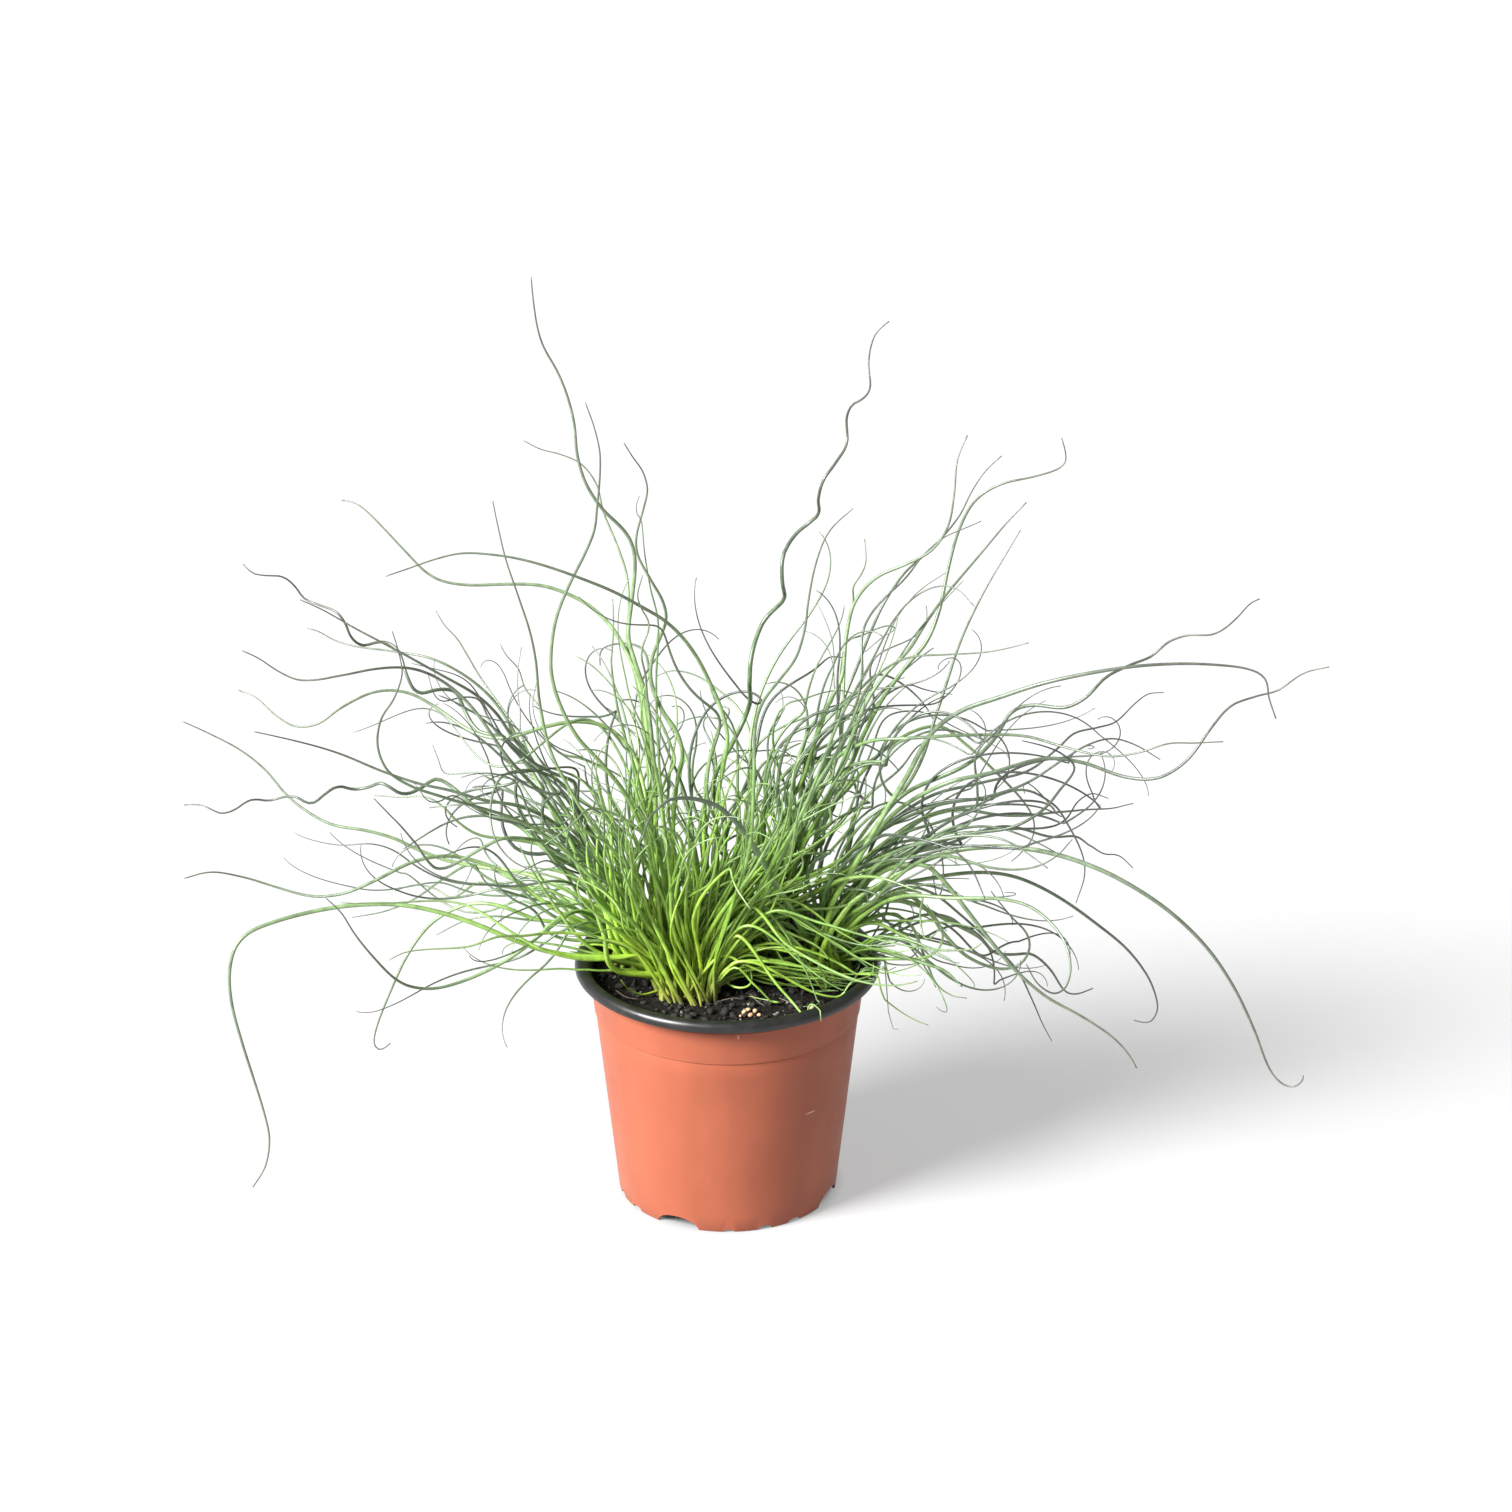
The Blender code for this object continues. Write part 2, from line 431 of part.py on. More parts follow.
def make_soil():
    """A plug that fills the pot, a gap away from its floor and wall."""
    bm = bmesh.new()
    side_gap = GAP + 0.1 * MM
    lower_radius = wall_radius(FLOOR_TOP) - WALL - 0.5 * MM - side_gap
    top_radius = wall_radius(SOIL_LEVEL) - WALL - side_gap - 0.3 * MM
    shoulder = SHOULDER_HEIGHT - WALL
    rings = [
        ring_of(bm, lower_radius, FLOOR_TOP + GAP),
        ring_of(bm, wall_radius(SHOULDER_HEIGHT) - WALL - side_gap - 0.1 * MM, shoulder),
        ring_of(bm, top_radius, SOIL_LEVEL - 0.4 * MM),
    ]
    for k in range(1, SOIL_RINGS):
        rings.append(ring_of(bm, top_radius * (1.0 - k / SOIL_RINGS), SOIL_LEVEL))
    for lower, upper in zip(rings, rings[1:]):
        join_rings(bm, lower, upper)
    bm.faces.new(rings[0])
    middle = bm.verts.new((0.0, 0.0, soil_height(0.0, 0.0)))
    innermost = rings[-1]
    for k in range(ROUND_SIDES):
        bm.faces.new((innermost[k], innermost[(k + 1) % ROUND_SIDES], middle))
    for ring in rings[3:]:
        for vert in ring:
            vert.co.z = soil_height(vert.co.x, vert.co.y)
    object_from(bm, "soil", plain_material("potting_soil", (0.03, 0.025, 0.02), 0.95))


def along_sight(x, z, depth):
    """The point seen at (x, z) on the upright plane through the pot's axis, at a depth behind it."""
    share = (depth - EYE.y) / -EYE.y
    return (EYE.x + (x - EYE.x) * share, depth, EYE.z + (z - EYE.z) * share)


def evenly(points, step):
    """Points a step apart, both ends kept, on the smooth curve through the given ones."""
    given = np.array(points)
    padded = np.vstack([2.0 * given[0] - given[1], given, 2.0 * given[-1] - given[-2]])
    share = np.linspace(0.0, 1.0, 24, endpoint=False)[:, None]
    pieces = []
    for a, b, c, d in zip(padded, padded[1:], padded[2:], padded[3:]):
        pieces.append(0.5 * (2.0 * b + (c - a) * share + (2.0 * a - 5.0 * b + 4.0 * c - d) * share ** 2
                             + (3.0 * b - a - 3.0 * c + d) * share ** 3))
    dense = np.vstack(pieces + [given[-1:]])
    return spaced(dense, step)


def run_lengths(route):
    """Length of the way from the start to each point."""
    return np.concatenate([[0.0], np.cumsum(np.linalg.norm(np.diff(route, axis=0), axis=1))])


def spaced(route, step):
    way = run_lengths(route)
    marks = np.linspace(0.0, way[-1], max(int(round(way[-1] / step)), 4) + 1)
    return np.stack([np.interp(marks, way, route[:, axis]) for axis in range(3)], axis=1)


def stem_roots():
    """Root of each long stem: the stems of a clump stand in the order of the ways they lean."""
    roots = {}
    for clump, ((cx, cy), *_) in CLUMPS.items():
        aims = {}
        for name, (home, tip_depth, _, _, _, points) in STEMS.items():
            if home == clump:
                x, z = points[len(points) // 2]
                aims[name] = math.atan2(0.6 * tip_depth - cy, x - cx)
        names = sorted(aims, key=aims.get)
        for order, name in enumerate(names):
            spread = 2.0 * math.pi * order / len(names) - math.pi
            roots[name] = on_ring(clump, spread)
    return roots


def on_ring(clump, angle):
    (cx, cy), radius = CLUMPS[clump][:2]
    around = radius + 2.6
    return (cx + around * math.cos(angle)) * MM, (cy + around * math.sin(angle)) * MM


def stem_route(name, root):
    """Smooth way of a long stem from the soil to its tip, with its curl in depth."""
    _, tip_depth, _, curl, turn_length, points = STEMS[name]
    flat = run_lengths(np.array(points, dtype=float))
    start = flat[-1] * 0.06
    shares = (flat + start) / (flat[-1] + start)
    seen = []
    for (x, z), share in zip(points, shares):
        depth = root[1] + (tip_depth * MM - root[1]) * share ** 1.15
        seen.append(along_sight(x * MM, z * MM, depth))
    base = (*root, soil_height(*root) + 2.0 * GAP)
    route = evenly([base] + seen, ROUTE_STEP)
    way = run_lengths(route)
    swell = np.clip(way / (70.0 * MM), 0.0, 1.0)
    route[:, 1] += curl * MM * swell * np.sin(2.0 * math.pi * way / (turn_length * MM) + len(points))
    return route


def sprout_route(base, outward, reach, rise, turn, phase):
    """A short stem: up from the crown and over in an arch, curling a little about its way."""
    arch = np.linspace(0.0, turn, 40)
    across = Vector((0.0, 0.0, 1.0)).cross(outward)
    spin = 2.0 * math.pi * np.linspace(0.0, 1.0, 40) * (reach + rise) / (SPROUT_TURN_LENGTH * MM) + phase
    curl = SPROUT_CURL * MM * np.clip(4.0 * np.linspace(0.0, 1.0, 40), 0.0, 1.0)
    route = np.array(base)[None, :] + np.outer(reach * (1.0 - np.cos(arch)), np.array(outward))
    route[:, 2] += rise * np.sin(arch)
    route += np.outer(curl * (np.sin(spin) - math.sin(phase)), np.array(across))
    return spaced(route, ROUTE_STEP)


def crown_grid(clump):
    """Corners of the crown's domed top, row by row, and the height of its underside."""
    (cx, cy), radius = CLUMPS[clump][:2]
    underside = max(soil_height((cx + radius * math.cos(a)) * MM, (cy + radius * math.sin(a)) * MM)
                    for a in np.linspace(0.0, 2.0 * math.pi, 24)) + 2.0 * GAP
    rows = []
    for j in range(SPROUT_GRID + 1):
        v = 2.0 * j / SPROUT_GRID - 1.0
        row = []
        for i in range(SPROUT_GRID + 1):
            u = 2.0 * i / SPROUT_GRID - 1.0
            x = cx * MM + radius * MM * u * math.sqrt(1.0 - 0.5 * v * v)
            y = cy * MM + radius * MM * v * math.sqrt(1.0 - 0.5 * u * u)
            height = CROWN_SIDE_HEIGHT + CROWN_DOME_HEIGHT * (1.0 - 0.5 * (u * u + v * v))
            row.append(Vector((x, y, underside + height)))
        rows.append(row)
    return rows, underside


def clump_sprouts(clump):
    """Start and route of the short stem on each facet of the clump's crown."""
    (cx, cy), radius, (lean_x, lean_y), reach, rise = CLUMPS[clump]
    rows, _ = crown_grid(clump)
    routes = {}
    for j in range(SPROUT_GRID):
        for i in range(SPROUT_GRID):
            corners = (rows[j][i], rows[j][i + 1], rows[j + 1][i + 1], rows[j + 1][i])
            middle = sum(corners, Vector()) / 4.0
            away = Vector((middle.x - cx * MM, middle.y - cy * MM, 0.0)) / (radius * MM)
            aim = away * 1.2 + Vector((lean_x, lean_y, 0.0))
            order = j * SPROUT_GRID + i
            wobble = math.sin(2.4 * order + cx)
            bend = min(aim.length, 1.4)
            turn = math.radians(62.0 + 42.0 * bend + 12.0 * wobble)
            length = 1.0 + 0.28 * math.sin(5.1 * order + cy)
            routes[(i, j)] = sprout_route(middle, aim.normalized(), reach * bend * length * MM,
                                          rise * length * MM, turn, order)
    return routes


def surface_under(points):
    """Height of what lies under each point: soil, the pot's rim, or the ground well below."""
    away = np.hypot(points[:, 0], points[:, 1])
    inner_edge, outer_edge = RIM_RADIUS - LIP_WIDTH - 1.5 * MM, RIM_RADIUS + 2.5 * MM
    return np.interp(away, [inner_edge - 3.0 * MM, inner_edge, outer_edge, outer_edge + 4.0 * MM],
                     [SOIL_LEVEL + SOIL_RIPPLE, RIM_HEIGHT, RIM_HEIGHT, 8.0 * MM])


def nearest_shares(start_a, way_a, start_b, way_b):
    """How far along each of two segments their nearest points lie, for many pairs at once."""
    between = start_a - start_b
    aa = np.einsum("ij,ij->i", way_a, way_a)
    bb = np.einsum("ij,ij->i", way_b, way_b)
    ab = np.einsum("ij,ij->i", way_a, way_b)
    ca = np.einsum("ij,ij->i", way_a, between)
    cb = np.einsum("ij,ij->i", way_b, between)
    slant = np.maximum(aa * bb - ab * ab, 1e-18)
    share_a = np.clip((ab * cb - ca * bb) / slant, 0.0, 1.0)
    share_b = np.clip((ab * share_a + cb) / bb, 0.0, 1.0)
    share_a = np.clip((ab * share_b - ca) / aa, 0.0, 1.0)
    return share_a, share_b


def close_pairs(points, radii, owner, way_mark):
    """Pairs of stem segments that come nearer than their thickness and the clearance allow."""
    first = np.flatnonzero(owner[:-1] == owner[1:])
    start, way = points[first], points[first + 1] - points[first]
    middle, half = start + 0.5 * way, 0.5 * np.linalg.norm(way, axis=1)
    square = np.einsum("ij,ij->i", middle, middle)
    spread = square[:, None] + square[None, :] - 2.0 * middle @ middle.T
    reach = half[:, None] + half[None, :] + 2.0 * radii.max() + CLEARANCE
    one, two = np.nonzero(np.triu(spread < reach * reach, 1))
    way_between = way_mark[first[two]] - way_mark[first[one] + 1]
    keep = (owner[first[one]] != owner[first[two]]) | (way_between > 6.0 * MM)
    one, two = one[keep], two[keep]
    share_one, share_two = nearest_shares(start[one], way[one], start[two], way[two])
    apart = start[one] + share_one[:, None] * way[one] - start[two] - share_two[:, None] * way[two]
    distance = np.linalg.norm(apart, axis=1)
    wide_one = radii[first[one]] * (1.0 - share_one) + radii[first[one] + 1] * share_one
    wide_two = radii[first[two]] * (1.0 - share_two) + radii[first[two] + 1] * share_two
    lack = wide_one + wide_two + CLEARANCE - distance
    keep = lack > 0.0
    return (first[one][keep], first[two][keep], share_one[keep], share_two[keep], apart[keep],
            distance[keep], lack[keep])


def push_apart(points, radii, owner, way_mark):
    """How each point should move so that stems that touch come apart, and how many pairs touch."""
    one, two, share_one, share_two, apart, distance, lack = close_pairs(points, radii, owner, way_mark)
    move = np.zeros_like(points)
    count = np.full(len(points), 1e-9)
    sight = points[one] - np.array(EYE)
    sight /= np.linalg.norm(sight, axis=1)[:, None]
    sight[points[one][:, 2] < CROWDED_HEIGHT] *= 0.15
    side = np.where(np.einsum("ij,ij->i", apart, sight) >= 0.0, 1.0, -1.0)
    way = apart / np.maximum(distance, 0.02 * MM)[:, None] + 0.7 * side[:, None] * sight
    way /= np.maximum(np.linalg.norm(way, axis=1), 1e-9)[:, None]
    for first, share, sign in ((one, share_one, 1.0), (two, share_two, -1.0)):
        weight = (1.0 - share) ** 2 + share ** 2
        step = sign * 0.5 * lack[:, None] * way
        np.add.at(move, first, step * ((1.0 - share) / weight)[:, None])
        np.add.at(move, first + 1, step * (share / weight)[:, None])
        np.add.at(count, first, 1.0 - share)
        np.add.at(count, first + 1, share)
    return move / np.maximum(count, 1.0)[:, None], len(one)


def rise_over_surfaces(points, radii, owner, way_mark, loose):
    """How far points must move to clear the soil, the crowns, the rim and the ground."""
    first = np.flatnonzero(owner[:-1] == owner[1:])
    length = np.linalg.norm(points[first + 1] - points[first], axis=1)
    rooted = way_mark[first] == 0.0
    move = np.zeros_like(points)
    for share in (0.0, 0.25, 0.5, 0.75, 1.0):
        place = points[first] * (1.0 - share) + points[first + 1] * share
        wide = radii[first] * (1.0 - share) + radii[first + 1] * share
        free = loose[first] & ~(rooted & (share * length < 5.0 * MM))
        lift = np.where(free, surface_under(place) + wide + 0.5 * MM - place[:, 2], 0.0)
        np.maximum.at(move[:, 2], first, lift)
        np.maximum.at(move[:, 2], first + 1, lift)
        for (cx, cy), radius, *_ in CLUMPS.values():
            offset = place[:, :2] - np.array([cx, cy]) * MM
            away = np.maximum(np.linalg.norm(offset, axis=1), 1e-6)
            lack = radius * MM + wide + 0.5 * MM - away
            low = (lack > 0.0) & (place[:, 2] < CROWN_TOP + wide) & loose[first]
            shift = offset * (lack / away)[:, None]
            move[first[low] + 1, :2] += shift[low] * 0.5
            low &= ~rooted
            move[first[low], :2] += shift[low] * 0.5
    return move


def part_routes(routes, radii, fixed):
    """Move touching stems apart, mostly along the line of sight, and clear of what they pass over."""
    names = list(routes)
    owner = np.concatenate([np.full(len(routes[name]), k) for k, name in enumerate(names)])
    points = np.vstack([routes[name] for name in names])
    widths = np.concatenate([radii[name] for name in names])
    way_mark = np.concatenate([run_lengths(routes[name]) for name in names])
    loose = np.concatenate([np.full(len(routes[name]), name not in fixed) for name in names])
    roots = np.flatnonzero(way_mark == 0.0)
    inner = np.flatnonzero((owner[1:-1] == owner[:-2]) & (owner[1:-1] == owner[2:])) + 1
    for _ in range(PUSH_ROUNDS):
        move, touching = push_apart(points, widths, owner, way_mark)
        lift = rise_over_surfaces(points, widths, owner, way_mark, loose)
        if not touching and not lift.any():
            break
        smooth = move.copy()
        smooth[inner] = 0.7 * move[inner] + 0.15 * (move[inner - 1] + move[inner + 1])
        smooth[roots] = 0.0
        lift[roots] = 0.0
        points = points + smooth + lift
    ends = np.cumsum([len(routes[name]) for name in names])[:-1]
    return dict(zip(names, np.split(points, ends)))


def bend_marks(route, tolerance):
    """Which points of a route its bends need (Ramer, Douglas and Peucker's rule)."""
    start, end = route[0], route[-1]
    chord = end - start
    offset = route - start
    along = np.clip(offset @ chord / max(chord @ chord, 1e-12), 0.0, 1.0)
    stray = np.linalg.norm(offset - np.outer(along, chord), axis=1)
    worst = int(np.argmax(stray))
    if stray[worst] <= tolerance or len(route) < 3:
        return [0, len(route) - 1]
    first = bend_marks(route[:worst + 1], tolerance)
    return first[:-1] + [worst + mark for mark in bend_marks(route[worst:], tolerance)]


def grow(bm, ring, route, radii):
    """Carry a tube from a level ring of vertices along a route, and close it at the tip."""
    places = [Vector(point) for point in route]
    heading = Vector((0.0, 0.0, 1.0))
    arms = [(vert.co - places[0]).normalized() for vert in ring]
    for k in range(1, len(places)):
        ahead = places[min(k + 1, len(places) - 1)] - places[k]
        behind = places[k] - places[k - 1]
        new_heading = (behind.normalized() + ahead.normalized()).normalized()
        turn = heading.rotation_difference(new_heading)
        arms = [turn @ arm for arm in arms]
        heading = new_heading
        following = [bm.verts.new(places[k] + arm * radii[k]) for arm in arms]
        join_rings(bm, ring, following)
        ring = following
    bm.faces.new(ring)


def taper(route, width, tip_share):
    """Radius at each point of a stem: nearly even, then thinner and thinner towards the tip."""
    way = run_lengths(route)
    share = way / way[-1]
    return 0.5 * width * MM * (1.0 - (1.0 - tip_share) * share ** 2.2)


def root_ring(bm, root, radius, sides):
    """The level end of a stem, just above the soil."""
    ring = []
    for k in range(sides):
        angle = 2.0 * math.pi * k / sides
        ring.append(bm.verts.new(Vector(root) + Vector((math.cos(angle), math.sin(angle), 0.0)) * radius))
    bm.faces.new(ring)
    return ring


def make_stem(name, route, radii, material):
    sides = THIN_STEM_SIDES if STEMS[name][2] <= THIN_STEM else STEM_SIDES
    bm = bmesh.new()
    grow(bm, root_ring(bm, route[0], radii[0], sides), route, radii)
    object_from(bm, name, material)


def make_clump(clump, routes, radii, material):
    """A domed crown with a short stem on each facet of its top."""
    rows, underside = crown_grid(clump)
    bm = bmesh.new()
    top = [[bm.verts.new(corner) for corner in row] for row in rows]
    last = SPROUT_GRID
    edge = ([(0, i) for i in range(last)] + [(j, last) for j in range(last)]
            + [(last, i) for i in range(last, 0, -1)] + [(j, 0) for j in range(last, 0, -1)])
    rim = [top[j][i] for j, i in edge]
    foot = [bm.verts.new((vert.co.x, vert.co.y, underside)) for vert in rim]
    join_rings(bm, foot, rim)
    bm.faces.new(foot)
    for (i, j), route in routes.items():
        corners = [top[j][i], top[j][i + 1], top[j + 1][i + 1], top[j + 1][i]]
        start = Vector(route[0])
        wide = radii[(i, j)]
        ring = [bm.verts.new(start + (corner.co - start).normalized() * wide[0]) for corner in corners]
        join_rings(bm, corners, ring)
        grow(bm, ring, route, wide)
    object_from(bm, f"clump_{clump}", material)


def main():
    clear_scene()
    make_pot()
    make_soil()
    routes = {}
    radii = {}
    for name, root in stem_roots().items():
        route = stem_route(name, root)
        routes[name] = route[bend_marks(route, BEND_TOLERANCE)]
        radii[name] = taper(routes[name], STEMS[name][2], TIP_SHARE)
    sprouts = {clump: clump_sprouts(clump) for clump in CLUMPS}
    for clump, own in sprouts.items():
        for place, route in own.items():
            routes[clump, place] = route[bend_marks(route, SPROUT_TOLERANCE)]
            radii[clump, place] = taper(routes[clump, place], SPROUT_THICKNESS, SPROUT_TIP_SHARE)
    fixed = {name for name in routes if name not in STEMS}
    routes = part_routes(routes, radii, fixed)
    green = plain_material("rush_green", (0.10, 0.28, 0.05), 0.4)
    for name in STEMS:
        make_stem(name, routes[name], radii[name], green)
    for clump, own in sprouts.items():
        make_clump(clump, {place: routes[clump, place] for place in own},
                   {place: radii[clump, place] for place in own}, green)


main()
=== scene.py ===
"""Looks of the potted corkscrew rush: fine stems, moulded pot and crumbly potting mix round the CAD frame.

Metres, +Z up; the plant is seen from -Y. Everything is built about the pot's axis and then moved by
PLACE, which puts it where the CAD has it.
"""

import math

import bmesh
import bpy
import numpy as np
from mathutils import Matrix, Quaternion, Vector, noise

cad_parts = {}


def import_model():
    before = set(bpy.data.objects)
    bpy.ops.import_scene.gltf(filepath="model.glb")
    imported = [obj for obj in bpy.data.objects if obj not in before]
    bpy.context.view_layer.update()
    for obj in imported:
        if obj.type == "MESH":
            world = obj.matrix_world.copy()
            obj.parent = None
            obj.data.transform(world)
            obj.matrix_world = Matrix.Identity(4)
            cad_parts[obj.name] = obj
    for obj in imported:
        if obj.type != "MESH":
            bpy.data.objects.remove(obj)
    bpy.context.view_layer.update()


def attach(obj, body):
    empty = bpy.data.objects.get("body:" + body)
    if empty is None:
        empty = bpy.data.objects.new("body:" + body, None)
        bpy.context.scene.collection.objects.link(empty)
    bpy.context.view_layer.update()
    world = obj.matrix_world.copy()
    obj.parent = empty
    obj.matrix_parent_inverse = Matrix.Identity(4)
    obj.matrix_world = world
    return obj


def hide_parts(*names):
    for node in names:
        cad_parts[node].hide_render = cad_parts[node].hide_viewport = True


MM = 0.001
GAP = 0.3 * MM
PLACE = Vector((-6.0, -13.4, 0.0)) * MM

# Pot
RIM_RADIUS = 60.0 * MM
RIM_HEIGHT = 99.5 * MM
BASE_RADIUS = 43.4 * MM
WALL = 1.0 * MM
TAPER = 0.110
SHOULDER_HEIGHT = 78.0 * MM
SHOULDER_STEP = 0.4 * MM
LIP_UNDERSIDE = 95.4 * MM
LIP_WIDTH = 4.6 * MM
FLOOR_UNDERSIDE = 5.0 * MM
FLOOR_TOP = 6.2 * MM
DRAIN_HOLES = 6
DRAIN_RADIUS = 3.5 * MM
DRAIN_RING = 27.0 * MM
DRAIN_SIDES = 24

# Notches of the foot: the directions of the four wide ones in degrees, then how many degrees past a
# wide one each notch of its quarter lies, with its half width and height in mm.
WIDE_NOTCHES = (-117.0, -22.0, 64.0, 150.0)
FOOT_NOTCHES = ((0.0, 8.9, 4.6), (28.0, 2.0, 1.1), (47.0, 2.8, 1.7), (64.5, 3.0, 1.5))
NOTCH_ARCH_SIDES = 24

# Soil
SOIL_LEVEL = 91.5 * MM
SOIL_RIPPLE = 0.6 * MM

# Point from which the stems' routes were read: it looks along +Y and down on the pot.
EYE = Vector((11.3, -1828.5, 995.8)) * MM

# Stems
ROUTE_STEP = 2.5 * MM
BEND_TOLERANCE = 1.25 * MM
TIP_SHARE = 0.32
TAPER_POWER = 2.2
DEPTH_POWER = 1.15
CROWDED_HEIGHT = 130.0 * MM
CLEARANCE = 0.45 * MM
PUSH_ROUNDS = 120

# Clumps: name, middle of the crown on the soil in mm, crown radius in mm, lean of its short stems
# (x, y), their reach and rise in mm.
CLUMPS = {
    "front": ((-15.0, -17.0), 9.0, (-0.15, -0.35), 34.0, 74.0),
    "left": ((-34.0, 13.0), 8.5, (-0.75, 0.10), 42.0, 62.0),
    "back": ((-6.0, 33.0), 9.0, (0.05, 0.75), 38.0, 78.0),
    "middle": ((14.0, 12.0), 8.5, (0.35, 0.25), 30.0, 88.0),
    "right": ((38.0, 3.0), 8.5, (0.75, -0.20), 44.0, 62.0),
}

